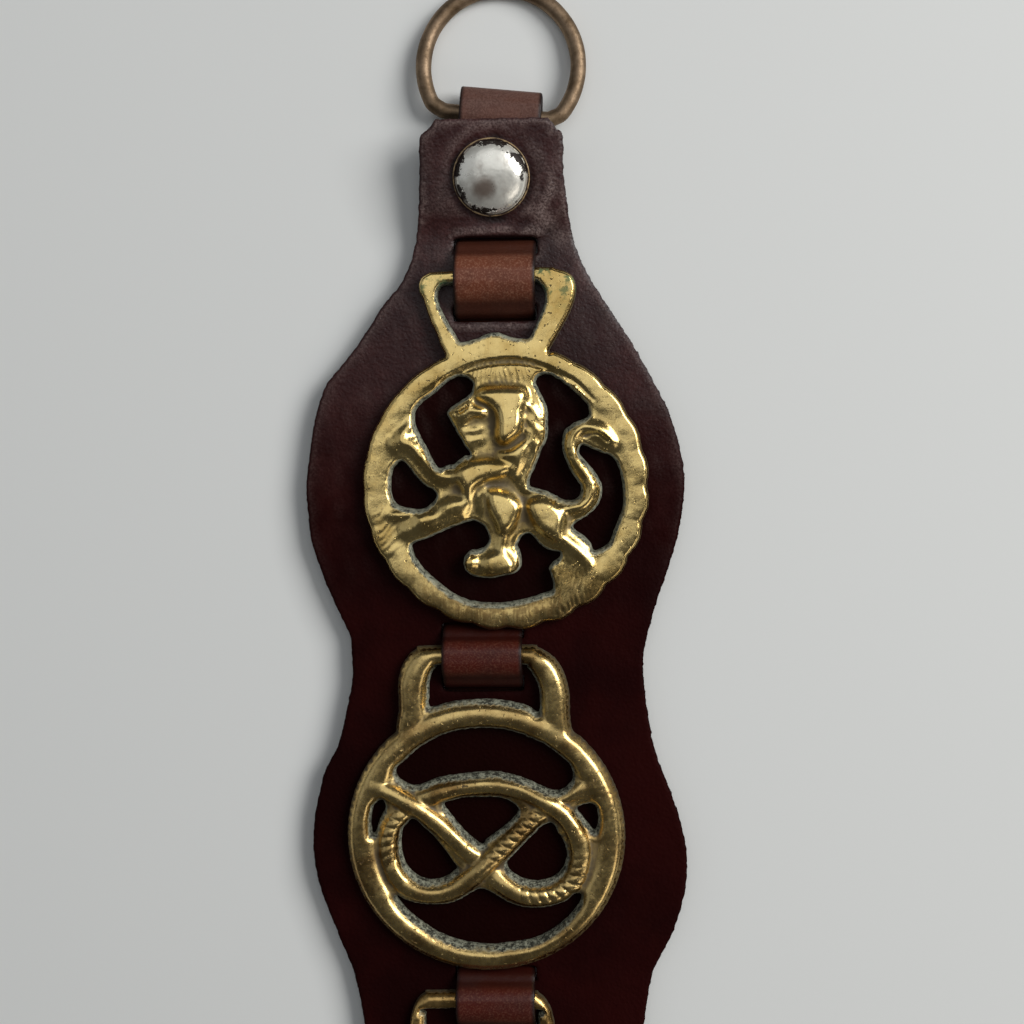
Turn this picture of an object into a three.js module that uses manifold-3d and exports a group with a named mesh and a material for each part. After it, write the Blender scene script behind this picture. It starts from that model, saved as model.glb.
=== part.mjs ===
// Three horse brasses on a leather martingale backing, lying on its back.
// Millimetres. +X to the wearer's left, +Y up the strap towards the D-ring, +Z out of the front.
// Sizes are laid out from the strap's tail, and the group then brings the middle of the whole to the
// origin, on the surface that the strap lies on.
import * as THREE from "three";
import Module from "manifold-3d";

const wasm = await Module();
wasm.setup();

// ---------------------------------------------------------------- driving dimensions
const GAP = 0.3;                                   // air between touching pieces
const MIDDLE = { x: 0.35, y: -164.14 };            // from the layout's zero to the middle of the whole

const STRAP = { width: 18, thick: 2.0 };           // keeper strap, just under 3/4 inch
const BACKING = { thick: 2.6, under: 2.3 };        // oiled harness leather
const RISE = { foot: 272.5, step: 278.5, height: 4.75, slope: 0.2 };   // over the folded strap
const BRASS_BACK = BACKING.under + BACKING.thick + GAP;

const RING = { x: 2.1, y: 309.4, arc: 17.15, wire: 1.75, chord: 10.9, barZ: 4.05, tilt: -0.105 };
const CAP = { x: 0, y: 284.4, radius: 8.2, flange: 9.1, height: 3.6, shank: 2.0 };
const TAIL = { x: -0.4, y: 14.5 };

const LION = { x: 2.1, y: 216.3, radius: 32.1, lobes: 24, plate: 3.2, draft: 1.0 };
const KNOT = { x: -3.4, y: 137.2, rx: 31.6, ry: 31.1, plate: 2.9, draft: 1.1 };
const WHEEL = { x: -4.9, y: 58.1, radius: 30.6, band: 5.8, hub: 7.4, spokes: 6, spoke: 4.8,
  plate: 2.9, draft: 1.0 };

// Each keeper: middle of the hanger bar, top of the bar, and the two slits in the backing.
const KEEPERS = [
  { bar: LION.y + 46.7, crest: BRASS_BACK + LION.plate, upper: 271.4, lower: 253.6 },
  { bar: KNOT.y + 41.3, crest: BRASS_BACK + KNOT.plate, upper: 185.4, lower: 170.4 },
  { bar: WHEEL.y + 40.8, crest: BRASS_BACK + WHEEL.plate, upper: 106.2, lower: 90.4 },
];
// Middle of the keeper strap across the backing, which wanders as it weaves: [y, x].
const DRIFT = [
  [306, 2.4], [286, 1.2], [262, 0.3], [222, -1.8], [184, -3.6], [170, -3.6], [104, -1.6], [90, -1.6],
  [40, -0.8], [4, 0],
];

const LEATHER = new THREE.Color("#2a1416");
const TAN = new THREE.Color("#6b3020");
const GOLD = new THREE.Color("#b8974a");
const BRONZE = new THREE.Color("#8a6a34");
const ANTIQUE = new THREE.Color("#6f6247");
const NICKEL = new THREE.Color("#a9a9a4");

// ---------------------------------------------------------------- small helpers
const v2 = ([x, y]) => new THREE.Vector2(x, y);
const v3 = (x, y, z) => new THREE.Vector3(x, y, z);
const mix = (a, b, t) => a + (b - a) * t;
const smooth = (t) => t * t * (3 - 2 * t);

/** Value at s of a curve through [s, value] pairs listed in falling or rising order of s. */
function along(pairs, s) {
  const rows = pairs[0][0] < pairs.at(-1)[0] ? pairs : pairs.slice().reverse();
  if (s <= rows[0][0]) return rows[0][1];
  for (let i = 1; i < rows.length; i += 1) {
    const [s0, a] = rows[i - 1];
    const [s1, b] = rows[i];
    if (s <= s1) return mix(a, b, smooth((s - s0) / (s1 - s0)));
  }
  return rows.at(-1)[1];
}

/** Closed surface through equal loops of points: capped with fans, or joined end to start. */
function skin(loops, closed = false) {
  const n = loops[0].length;
  const position = loops.flat().flatMap((p) => [p.x, p.y, p.z]);
  const index = [];
  const spans = closed ? loops.length : loops.length - 1;
  for (let i = 0; i < spans; i += 1) {
    const a = i * n;
    const b = ((i + 1) % loops.length) * n;
    for (let j = 0; j < n; j += 1) {
      const k = (j + 1) % n;
      index.push(a + j, b + j, b + k, a + j, b + k, a + k);
    }
  }
  if (!closed) {
    for (let j = 1; j < n - 1; j += 1) {
      const last = (loops.length - 1) * n;
      index.push(0, j, j + 1, last, last + j + 1, last + j);
    }
  }
  const geometry = new THREE.BufferGeometry();
  geometry.setAttribute("position", new THREE.Float32BufferAttribute(position, 3));
  geometry.setIndex(index);
  return geometry;
}

/** The solid inside a closed geometry, whichever way round its faces were listed. */
function solid(geometry) {
  const { position } = geometry.attributes;
  const seen = new Map();
  const points = [];
  const renumber = Array.from({ length: position.count }, (_, i) => {
    const p = [position.getX(i), position.getY(i), position.getZ(i)];
    const key = p.map((c) => Math.round(c * 1e4)).join();
    if (!seen.has(key)) {
      seen.set(key, points.length / 3);
      points.push(...p);
    }
    return seen.get(key);
  });
  const order = geometry.index ? Array.from(geometry.index.array) : renumber.map((_, i) => i);
  const faces = [];
  let volume = 0;
  for (let i = 0; i < order.length; i += 3) {
    const [a, b, c] = [order[i], order[i + 1], order[i + 2]].map((k) => renumber[k]);
    if (a === b || b === c || c === a) continue;
    faces.push(a, b, c);
    const [p, q, r] = [a, b, c].map((k) => v3(...points.slice(3 * k, 3 * k + 3)));
    volume += p.dot(q.cross(r));
  }
  if (volume < 0) faces.reverse();
  return new wasm.Manifold(new wasm.Mesh({
    numProp: 3,
    vertProperties: Float32Array.from(points),
    triVerts: Uint32Array.from(faces),
  }));
}

const union = (solids) => solids.reduce((whole, piece) => whole.add(piece));

function box(x, y, z, cx, cy, cz) {
  return solid(new THREE.BoxGeometry(x, y, z).translate(cx, cy, cz));
}

function named(name, manifold, color, roughness, metalness) {
  const { vertProperties, triVerts } = manifold.getMesh();
  const geometry = new THREE.BufferGeometry();
  geometry.setAttribute("position", new THREE.Float32BufferAttribute(vertProperties, 3));
  geometry.setIndex(Array.from(triVerts));
  const material = new THREE.MeshStandardMaterial({ color, roughness, metalness });
  const mesh = new THREE.Mesh(geometry, material);
  mesh.name = name;
  return mesh;
}

// ---------------------------------------------------------------- leather
/** Height of the backing's underside: flat, a step up over the strap's end, then a slope to the top. */
function backingUnder(y) {
  if (y <= RISE.foot) return BACKING.under;
  if (y <= RISE.step) return mix(BACKING.under, RISE.height, (y - RISE.foot) / (RISE.step - RISE.foot));
  return RISE.height + (y - RISE.step) * RISE.slope;
}

/** Half-widths of the backing, [y, left, right], from the rounded tail to the cut-off top. */
const BACKING_EDGE = [
  [0, 5, 5], [1.4, 10.5, 10.5], [5, 15.6, 15.6], [11, 18.6, 18.6], [17, 21.5, 21.3], [23, 27.6, 27.6],
  [29, 34.6, 34.8], [36, 40.4, 40.2], [43, 42.8, 42.4], [50, 43.3, 42.6], [58, 42.3, 41.4],
  [67, 39.4, 38.8], [76, 35.4, 35.2], [84.5, 32.6, 32.6], [89, 31.9, 31.9], [93.2, 32.2, 32.2],
  [104.6, 34.4, 34.2], [113.9, 37.9, 38.6], [123.7, 41.5, 41.5], [132.4, 43.2, 42.1], [140.5, 42.9, 40.6],
  [147, 41.5, 38.4], [152, 40, 36.4], [158, 36.8, 34.6], [166.9, 34.6, 33.2], [173, 33.4, 32.6],
  [178.2, 33.4, 32.7], [183.2, 33.9, 33.7], [190.7, 37.3, 35.8], [197, 39.8, 38], [204.3, 42.1, 40.2],
  [211, 42.8, 41.5], [217.8, 43.1, 42], [225, 42.1, 40.9], [231.9, 40.8, 38.9], [236, 39.5, 37.1],
  [240.4, 37.5, 34.8], [247.8, 31.3, 30.5], [256.9, 25.1, 24.7], [259.1, 23.3, 23.5], [262, 20.8, 21.6],
  [265.7, 18.9, 19.8], [269, 17.8, 18.5], [272.5, 17, 17.5],
  [278.5, 16.3, 16.6], [286, 15.8, 15.8], [292.8, 15.4, 15.7], [294.7, 13.5, 14.2], [296.7, 11.8, 12.5],
];

function backing() {
  const loops = BACKING_EDGE.map(([y, left, right]) => {
    const z = backingUnder(y);
    const front = z + BACKING.thick;
    return [v3(-left, y, z), v3(right, y, z), v3(right, y, front), v3(-left, y, front)];
  });
  const slit = (y) => box(STRAP.width + 2 * GAP, 4.0, 9, along(DRIFT, y), y, 4);
  const hole = (hub) => solid(new THREE.CylinderGeometry(CAP.shank + GAP, CAP.shank + GAP, 24, 12)
    .rotateX(Math.PI / 2).translate(hub.x, hub.y, 0));
  return KEEPERS.reduce(
    (plate, keeper) => plate.subtract(slit(keeper.upper - 1.6)).subtract(slit(keeper.lower + 1.6)),
    solid(skin(loops)),
  ).subtract(hole(CAP)).subtract(hole(TAIL));
}

/** Middle line of the keeper strap as [y, z, slant], from its end at the rivet to its tail. */
function strapLine() {
  const back = STRAP.thick / 2;
  const front = BACKING.under + BACKING.thick + STRAP.thick / 2 + 0.1;
  const fold = RING.y - RING.chord;
  const line = [
    [279.5, backingUnder(279.5) - 1.4, 0], [288, backingUnder(288) - 1.4, 0],
    [294, backingUnder(294) - 1.4, 0.5], [fold - 0.6, RING.barZ + 3.1, 1],
    [fold + 2.6, RING.barZ + 2.6, 1],
    [fold + 4.6, RING.barZ + 0.9, 1], [fold + 4.6, RING.barZ - 1.1, 1], [fold + 2.6, back + 0.35, 1],
    [fold - 1.5, back, 1], [292, back, 0.3], [288, back, 0],
  ];
  for (const { bar, crest, upper, lower } of KEEPERS) {
    const top = crest + GAP + back;
    const low = (y, s) => [
      [y + 3.2 * s, back, 0], [y + 1.6 * s, back + 0.15, 0], [y + 0.75 * s, back + 1, 0],
      [y + 0.3 * s, back + 2.6, 0], [y - 0.45 * s, front - 0.7, 0], [y - 1.8 * s, front + 0.35, 0],
    ];
    line.push(
      ...low(upper - 1.6, 1),
      [mix(upper, bar, 0.66), mix(front, top, 0.78), 0], [bar + 1.3, top, 0], [bar - 1.3, top, 0],
      [mix(lower, bar, 0.66), mix(front, top, 0.78), 0],
      ...low(lower + 1.6, -1).reverse(),
    );
  }
  line.push([30, back, 0], [TAIL.y - 8.5, back, 0]);
  return line;
}

function keeperStrap() {
  const line = strapLine();
  const loops = line.map(([y, z, slant], i) => {
    const [y0, z0] = line[Math.max(i - 1, 0)];
    const [y1, z1] = line[Math.min(i + 1, line.length - 1)];
    const into = Math.hypot(y - y0, z - z0) || 1;
    const out = Math.hypot(y1 - y, z1 - z) || 1;
    const ahead = new THREE.Vector2((y1 - y) / out, (z1 - z) / out);
    const t = new THREE.Vector2((y - y0) / into, (z - z0) / into).add(ahead).normalize();
    const bend = Math.max(0.75, Math.abs(t.dot(ahead) || 1));
    const half = STRAP.thick / 2 / bend;
    const middle = along(DRIFT, y);
    const corner = (x, side) => v3(
      middle + x, y + slant * RING.tilt * x - side * t.y * half, z + side * t.x * half,
    );
    const w = STRAP.width / 2;
    return [corner(-w, 1), corner(-w, -1), corner(w, -1), corner(w, 1)];
  });
  const hole = (hub) => solid(new THREE.CylinderGeometry(CAP.shank + GAP, CAP.shank + GAP, 12, 12)
    .rotateX(Math.PI / 2).translate(hub.x, hub.y, 2));
  const recess = (hub) => solid(new THREE.CylinderGeometry(3.9, 3.9, 2, 12)
    .rotateX(Math.PI / 2).translate(hub.x, hub.y, 0));
  return [CAP, TAIL].reduce(
    (strap, hub) => strap.subtract(hole(hub)).subtract(recess(hub)),
    solid(skin(loops)),
  );
}

// ---------------------------------------------------------------- metal fittings
/** Domed cap leaning with the leather, on an upright shank clenched into a recess in the strap. */
function rivet(hub, seat, lean) {
  const { radius, flange, height, shank } = CAP;
  const turned = (profile, sides) => new THREE.LatheGeometry(profile.map(v2), sides).rotateX(Math.PI / 2);
  const cap = [[0, 0], [flange, 0], [flange, 0.45], [radius, 0.6]];
  const steps = 5;
  for (let i = 1; i <= steps; i += 1) {
    const a = (i / steps) * (Math.PI / 2);
    cap.push([i === steps ? 0 : radius * Math.cos(a), 0.7 + (height - 0.7) * Math.sin(a)]);
  }
  const stem = [[0, 0.15], [3.4, 0.15], [3.4, 0.7], [shank, 0.75], [shank, seat + 0.5], [0, seat + 0.5]];
  return solid(turned(cap, 18).rotateX(lean).translate(hub.x, hub.y, seat))
    .add(solid(turned(stem, 12).translate(hub.x, hub.y, 0)));
}

/** Wire D: a circle cut by a straight bar, sloping until its far arc rests on the ground. */
function dRing() {
  const { arc, chord, wire } = RING;
  const end = Math.asin(-chord / arc);
  const middle = [];
  const steps = 24;
  for (let i = 0; i <= steps; i += 1) {
    const a = mix(end + 0.1, Math.PI - end - 0.1, i / steps);
    middle.push([arc * Math.cos(a), arc * Math.sin(a)]);
  }
  const reach = arc * Math.cos(end);
  middle.push([-reach + 1.6, -chord], [-reach / 3, -chord], [reach / 3, -chord], [reach - 1.6, -chord]);
  const drop = (RING.barZ - wire) / (arc + chord);
  const turn = Math.atan(RING.tilt);
  const points = middle.map(([x, y]) => v3(
    RING.x + x * Math.cos(turn) - y * Math.sin(turn),
    RING.y + x * Math.sin(turn) + y * Math.cos(turn),
    RING.barZ - drop * (y + chord),
  ));
  const n = points.length;
  const loops = points.map((p, i) => {
    const t = points[(i + 1) % n].clone().sub(points[(i + n - 1) % n]).normalize();
    const side = v3(0, 0, 1).cross(t).normalize();
    const up = t.clone().cross(side);
    return Array.from({ length: 8 }, (_, k) => {
      const a = (k / 8) * 2 * Math.PI;
      return p.clone().addScaledVector(side, wire * Math.cos(a)).addScaledVector(up, wire * Math.sin(a));
    });
  });
  return solid(skin(loops, true));
}

// ---------------------------------------------------------------- cast brasses
/** Pierced plate with a flat back, an upright foot and walls that lean in to the front. */
function plate(outline, holes, thick, draft) {
  const rim = outline.map(v2);
  const shape = new THREE.Shape(THREE.ShapeUtils.isClockWise(rim) ? rim.reverse() : rim);
  shape.holes = holes.map((hole) => new THREE.Path(hole.map(v2)));
  const foot = 0.6;
  const geometry = new THREE.ExtrudeGeometry(shape, {
    depth: foot, bevelEnabled: true, bevelThickness: thick - foot, bevelSize: draft,
    bevelOffset: -draft, bevelSegments: 1,
  });
  return solid(geometry).intersect(box(200, 200, thick, 0, 0, thick / 2));
}

/** Rounded relief along a line of [x, y, half-width, height], sunk a little into the plate. */
function ridge(nodes, top, perSpan = 2, endless = false) {
  const line = new THREE.CatmullRomCurve3(nodes.map(([x, y]) => v3(x, y, 0)), endless);
  const size = new THREE.CatmullRomCurve3(nodes.map((n) => v3(n[2], n[3], 0)), endless);
  const steps = (endless ? nodes.length : nodes.length - 1) * perSpan;
  const section = (u, scale, shift) => {
    const p = line.getPoint(u);
    const t = line.getTangent(u);
    const { x: w, y: h } = size.getPoint(u);
    const at = (across, rise) => v3(
      p.x + t.x * shift * w - t.y * across * w * scale, p.y + t.y * shift * w + t.x * across * w * scale,
      top + rise * (rise > 0 ? h * scale : 1),
    );
    return [at(-1, -0.8), at(1, -0.8), at(0.72, 0.72), at(0, 1), at(-0.72, 0.72)];
  };
  if (endless) return solid(skin(Array.from({ length: steps }, (_, i) => section(i / steps, 1, 0)), true));
  const loops = [section(0, 0.4, -0.9)];
  for (let i = 0; i <= steps; i += 1) loops.push(section(i / steps, 1, 0));
  loops.push(section(1, 0.4, 0.9));
  return solid(skin(loops));
}

const placed = (manifold, { x, y }) => manifold.translate([x, y, BRASS_BACK]);

/** Lion: scalloped ring that meets the hanger's two arms at the given angles in degrees. */
function scallopedRing(fromDeg, toDeg) {
  const rim = [];
  const perLobe = 4;
  const count = Math.round(((fromDeg - toDeg) / 360) * LION.lobes * perLobe);
  for (let i = 0; i <= count; i += 1) {
    const a = THREE.MathUtils.degToRad(mix(fromDeg, toDeg, i / count));
    const depth = 0.5 - 0.38 * Math.cos(a - 2.1);
    const lobe = Math.abs(Math.sin((LION.lobes / 2) * (a - 0.01)));
    const r = LION.radius - depth * (1 - lobe);
    rim.push([r * Math.cos(a), r * Math.sin(a)]);
  }
  return rim;
}

const LION_HANGER = [
  [-14.1, 31.8], [-15, 34.4], [-16.4, 37.5], [-17.6, 41.4], [-18.7, 44.2], [-18.2, 46.5], [-16.5, 47.7],
  [-13, 48.1], [8, 48.7], [12, 48.2], [15, 47], [16.1, 44.8], [16, 42.2], [14.9, 38.9], [12.7, 34.8],
];
const LION_HOLES = [
  // under the hanger's bar
  [[-9.6, 32.5], [-7.4, 32.8], [-5.3, 33.4], [-3.6, 34.2], [-1.4, 34.5], [0.3, 33.9], [2.7, 33.2],
    [5.6, 33.2],
    [6.8, 35.3], [8.1, 38], [9.1, 40.4], [9.2, 43], [7.8, 45.1], [5, 45.6], [-11.6, 45.1], [-14, 44.2],
    [-14.5, 42.2], [-13.7, 39.6], [-12.1, 36.5], [-10.6, 34]],
  // between ring, muzzle and raised foreleg
  [[-19.9, 17.3], [-18.2, 19.3], [-15.2, 21.5], [-13.1, 23.4], [-11.4, 24.4], [-9.7, 24.8], [-8.1, 24.4],
    [-7, 23.3], [-7.1, 22], [-7.8, 20.8], [-9.7, 19.5], [-11.5, 18.4], [-12.6, 17.4], [-12.8, 16.4],
    [-12.2, 15.2], [-11.1, 13.2], [-9.3, 10], [-7.8, 7.5], [-9, 7.2], [-10.3, 6.3], [-11.4, 5.4],
    [-13, 5.1], [-14.4, 4.5], [-15.4, 5], [-16.6, 7], [-17.8, 9.6], [-19, 11.8], [-20, 14.4]],
  // between the two forelegs
  [[-24.2, 5.6], [-23.2, 6.2], [-22.2, 5.6], [-21, 4.1], [-19.5, 2.1], [-17.8, 0.6], [-16.2, -0.4],
    [-15.4, -1.5], [-16.2, -2.9], [-17.9, -4.3], [-19.8, -4.7], [-21.6, -4.4], [-23.4, -4.1], [-24.9, -3],
    [-25.6, -1.2], [-25.7, 1.6], [-25.3, 4]],
  // below the forelegs and around the standing foot
  [[-20.9, -12.4], [-17.9, -11.3], [-14.8, -10], [-12.5, -9], [-10.4, -8.2], [-8.1, -7.5], [-6.8, -7.4],
    [-5.1, -8.4], [-4.2, -9.7], [-3.8, -11.2], [-4.1, -12.3], [-5, -13.3], [-6.5, -13.8], [-8, -14],
    [-9.1, -15], [-9.6, -16.3], [-9.5, -17.6], [-8.9, -18.8], [-7.6, -19.7], [-5.6, -20.2], [-3.4, -20.3],
    [-1.4, -19.9], [0.3, -19.6], [1.8, -19.2], [2.9, -18.4], [3.4, -17], [3.3, -15.6], [3, -14.2],
    [2.5, -13], [3, -11.8], [3.8, -10.8], [5, -10.3], [6.2, -11.1], [7.4, -12.6], [9, -13.8],
    [10.6, -14.3],
    [12, -14.6], [11.8, -15.8], [10.2, -17], [9.5, -18.2], [10, -20], [10.4, -22], [10, -23.2], [7.6, -24],
    [4.4, -25], [0, -25.8], [-4, -25.9], [-7.6, -25.5], [-10.6, -24.5], [-13, -23.1], [-15.3, -21.2],
    [-17.9, -18.9], [-20, -16.3], [-21, -14.3]],
  // between mane, ring and tail
  [[7, 23.5], [8, 24.8], [9.8, 25.1], [11.5, 24.3], [13.4, 23], [15.4, 21.3], [17.3, 19.5], [18.5, 18],
    [18.7, 15.9], [17.6, 15.1], [15.9, 14.5], [14.4, 13.6], [13.3, 12.7], [12.9, 11.2], [12.7, 9.2],
    [13, 7.4], [13.6, 5.8], [14.7, 3.2], [16, 1.4], [16.8, 0], [16.7, -1.5], [15.6, -2.7], [14, -3],
    [12.6, -2.7], [11.3, -2], [9.6, -1.1], [7.6, -0.4], [5.6, 0.2], [5.4, 1.8], [6.3, 3.8], [7.3, 6.1],
    [8.1, 8.3], [9.2, 10.3], [9.6, 12], [9.6, 14.2], [9.6, 16.4], [9.3, 18.2], [8.6, 19.8], [7.7, 21.7]],
  // between tail, ring and rump
  [[17.1, 9.3], [18.4, 8.9], [20, 8.2], [22, 7.4], [23.7, 6.7], [24.8, 5.1], [25.6, 3], [26, 0.6],
    [26.2, -2], [25.9, -5.2], [24.9, -7.8], [23.9, -10.3], [23.1, -12.4], [21.7, -13.5], [20.3, -14.2],
    [19.4, -14], [18.8, -12.6], [17.5, -11.1], [16, -10.1], [15, -9], [15.6, -8], [17, -7.2], [19, -5.8],
    [20.6, -4], [21.5, -1.8], [21.4, 0.6], [20.4, 2.6], [18.9, 4.6], [17.3, 6.4], [16.5, 7.8]],
];
const LION_RELIEF = {
  mane_block: [[0.2, 27.6, 6, 0.7], [0, 24.4, 6, 1]],
  crown: [[-3.4, 21.2, 2.4, 1.4], [1, 20.4, 3.6, 2.1], [3.6, 18.2, 2.6, 1.6]],
  cheek: [[0.4, 18.4, 3.6, 2.3], [1.6, 15, 3.3, 2.3], [2.6, 12.6, 1.9, 1.5]],
  muzzle: [[-4.2, 19, 2.7, 1.4], [-7.8, 17.2, 2.3, 1.2], [-10.4, 16.9, 1, 0.6]],
  jaw: [[-9.7, 14.6, 1, 0.7], [-8, 11.6, 1.1, 0.8], [-6.4, 9.6, 1, 0.6]],
  mane_edge: [[6.2, 21, 1.3, 0.8], [7, 16.4, 1.5, 1.5], [6.6, 12.2, 1.4, 1.2]],
  throat: [[5.2, 10.6, 1.6, 1.2], [3.6, 7.4, 2.3, 1.4], [1.6, 4.4, 2.5, 1.3]],
  shoulder: [[0.4, 6.4, 1.3, 1], [-4.6, 6.2, 1.6, 1.4], [-8.8, 4.4, 1.8, 1.4], [-10.2, 0.6, 1.6, 1]],
  raised_leg: [[-11, 1.6, 1.8, 1], [-14.6, 1, 1.7, 1.1], [-18.2, 4.6, 1.6, 1.1], [-21.4, 9.6, 1.8, 1.1]],
  raised_paw: [[-23, 12.4, 1.7, 0.9], [-24.4, 9.6, 2.2, 1.2]],
  forearm: [[-8, -3.2, 2.1, 1.1], [-13, -5.3, 2, 1.2], [-19, -7.4, 2, 1.1], [-25, -9, 2.2, 0.9]],
  chest: [[-3.6, 3.2, 2.4, 0.9], [-6.6, -1.2, 2.2, 0.8], [-6.6, -4.8, 1.2, 0.6]],
  front_thigh: [[-1.4, -1.2, 2.6, 1.1], [0, -4.8, 3.4, 1.5], [0.2, -9, 1.9, 1.1], [0, -13, 1.7, 1]],
  standing_foot: [[1.4, -16, 1.5, 1.1], [-2.6, -16.8, 2, 1.3], [-6.6, -16.9, 2.1, 1.5]],
  rear_thigh: [[5.4, -3, 2.2, 1.3], [9.2, -5.4, 3, 1.7], [11.4, -9, 2.6, 1.5], [13.6, -12.2, 1.8, 1.1]],
  rear_shin: [[14, -12.6, 1.8, 1], [17, -15.4, 1.9, 1.2], [18.6, -18.4, 2, 1], [18.4, -22, 1.8, 0.5]],
  tail: [[12.6, -5.2, 1.3, 1], [16.2, -4.9, 1.3, 1.1], [18.9, -2.6, 1.3, 1], [18.6, 1.2, 1.2, 1],
    [16, 5, 1.1, 1], [14.9, 9, 1.1, 1], [16.4, 12.2, 1.4, 1.1]],
  tail_tuft: [[17.4, 12.6, 1.7, 1], [21.4, 11.4, 2.3, 1.3], [24.6, 9.4, 1.3, 0.7]],
};

function lionBrass() {
  const outline = [...scallopedRing(71.5, -246), ...LION_HANGER];
  const body = plate(outline, LION_HOLES, LION.plate, LION.draft);
  const relief = Object.values(LION_RELIEF)
    .map((nodes) => ridge(nodes, LION.plate, nodes.length > 3 ? 1 : 2));
  return placed(union([body, ...relief]), LION);
}

const KNOT_HANGER = [
  [-20.7, 26.6], [-20.1, 30.5], [-20, 35.6], [-19, 38.4], [-17.5, 40.9], [-15.2, 42.8], [-12.6, 43.5],
  [9.6, 43.6], [12.3, 43], [15, 41.5], [17.1, 39.2], [18.5, 36.2], [19.3, 32.4], [19.4, 28],
];
const KNOT_HOLES = [
  // under the hanger's bar
  [[-12.3, 29.6], [-9, 30.3], [-5.8, 30.9], [0.7, 31.3], [5.4, 30.8], [9.6, 29.8], [12.3, 28.4],
    [12.6, 32.3],
    [12.1, 34.8], [11, 37], [9.8, 38.5], [8, 39.2], [-8.6, 39.2], [-10.8, 38.5], [-12.1, 36.2],
    [-12.4, 33]],
  // between the ring and the knot's upper arc
  [[-20.2, 15.5], [-18, 17.5], [-15.2, 20], [-12.3, 21.8], [-9.2, 23.3], [-6.1, 24.2], [-2, 24.7],
    [1.2, 24.7],
    [4.5, 24.4], [7.9, 23.5], [11, 22.2], [13.6, 21], [16.8, 18.6], [19, 16.6], [19.8, 14.9], [19.8, 13],
    [18.9, 11.7], [17.4, 10.6], [15.8, 10.3], [14.2, 10.7], [12.4, 11.5], [10.3, 12.5], [8, 13.4],
    [4.7, 14.3],
    [1.4, 14.7], [-3.1, 14.4], [-6.4, 14], [-9.7, 13.5], [-11.9, 12.8], [-14.1, 11.9], [-15.6, 11.5],
    [-17.1, 11.7], [-18.6, 12.5], [-19.9, 13.6]],
  // under the arc, over the crossing
  [[-9.4, 7.2], [-7.4, 8.1], [-4.8, 8.8], [0.2, 8.9], [3.6, 8.7], [5.9, 7.8], [7.4, 6.3], [6.9, 4.7],
    [4.7, 2.6], [2.5, 0.8], [0.3, -0.8], [-0.8, -2], [-2.3, -1.2], [-3.9, 0.1], [-5.4, 1.7], [-7.2, 3.9]],
  // left loop
  [[-16.3, 3.9], [-18.1, 2.6], [-19.1, 0.9], [-19.3, -2], [-19, -4.9], [-18.1, -7], [-16.9, -8.5],
    [-15, -9.8],
    [-12.8, -10.3], [-10.3, -10], [-8.3, -9], [-6.7, -7.4], [-7.7, -5.7], [-9.1, -3.7], [-10.6, -1.6],
    [-12.4, 0.4], [-14.4, 2.2]],
  // right loop
  [[14.7, 3], [12.6, 2.1], [11, 0.5], [9.3, -1.2], [7.4, -3.2], [5.8, -4.9], [4.7, -6.3], [5.1, -7.7],
    [6.6, -9.1], [9, -10.2], [11.7, -10.5], [14.5, -9.9], [16.7, -8.4], [17.9, -6.3], [18.3, -4],
    [17.7, -1.4], [16.5, 0.6], [15.7, 2.2]],
  // slivers beside the loops
  [[-23.5, 8.3], [-25.3, 7.2], [-26, 4.9], [-26.2, 2.6], [-25.8, 0.6], [-25, 1.2], [-24.1, 3.9],
    [-22.8, 6.6]],
  [[20.7, 6.4], [22.6, 7.3], [24.6, 7.2], [25.4, 5.2], [25.4, 3], [24.7, 1.3], [23.2, 2.8], [21.6, 4.9]],
  // crescent under the knot
  [[-20.6, -13.9], [-18.2, -15], [-15, -15.8], [-11.3, -15.9], [-8.4, -15.6], [-5.8, -14.6], [-3.2, -13],
    [-1.2, -12.2], [1, -13], [4.1, -14.9], [6.6, -16], [9.4, -16.6], [13, -16.5], [16, -15.8],
    [18.2, -14.9],
    [20, -13.4], [21.4, -13.4], [21.2, -15.2], [19.5, -17.7], [17, -20.2], [13.6, -22.5], [9.9, -24.1],
    [4.4, -25], [0, -25.3], [-5.6, -24.6], [-11.1, -22.6], [-15.6, -19.6], [-18.6, -17]],
];
/** Rope of the knot in three runs; the tall stretches pass over the low ones. */
const KNOT_ROPE = [
  [[-25.6, 11.6, 2, 0.7], [-20.8, 9.8, 2, 1.3], [-16.3, 7.3, 2, 1.7], [-12, 4, 2, 1.2], [-8, 0.5, 2, 0.9],
    [-4, -3.4, 2, 0.6], [-0.6, -6.8, 2, 0.5], [3.6, -10.6, 2.1, 0.9], [8, -13.1, 2.2, 1.1],
    [12, -13.5, 2.2, 1.1], [16.2, -12.8, 2.2, 1.1], [19.6, -10.2, 2.2, 1.1], [21.2, -6.2, 2.1, 1.1],
    [21.4, -2, 2.1, 1.1], [20, 2, 2, 1.1]],
  [[20.4, 1, 1.6, 0.9], [18.4, 4.4, 2, 1.3], [14.2, 7.9, 2, 1.7], [9, 10.6, 2, 1.1], [4, 11.8, 2, 1.1],
    [-1, 12, 2, 1.1], [-6, 11.2, 2, 1.1], [-11, 9.8, 2, 0.8], [-15.6, 7.5, 2, 0.5], [-19.4, 4.4, 2, 0.8],
    [-21.6, 0.6, 2, 1.1], [-22, -4, 2, 1.1], [-20.4, -8.8, 2.1, 1.1]],
  [[-20.8, -7.8, 1.6, 0.9], [-18.4, -11, 2.1, 1.1], [-14, -12.9, 2.2, 1.1], [-9.4, -12.6, 2.2, 1.1],
    [-5, -10.6, 2.1, 1.3], [-0.6, -6.8, 2, 1.7], [3.6, -2.8, 2, 1.2], [7.2, 0.6, 2, 0.9],
    [10.8, 4, 2, 0.6], [14.4, 7.6, 1.9, 0.5], [18.6, 9.9, 1.9, 0.8], [23.6, 11.6, 1.9, 0.7]],
];

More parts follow.
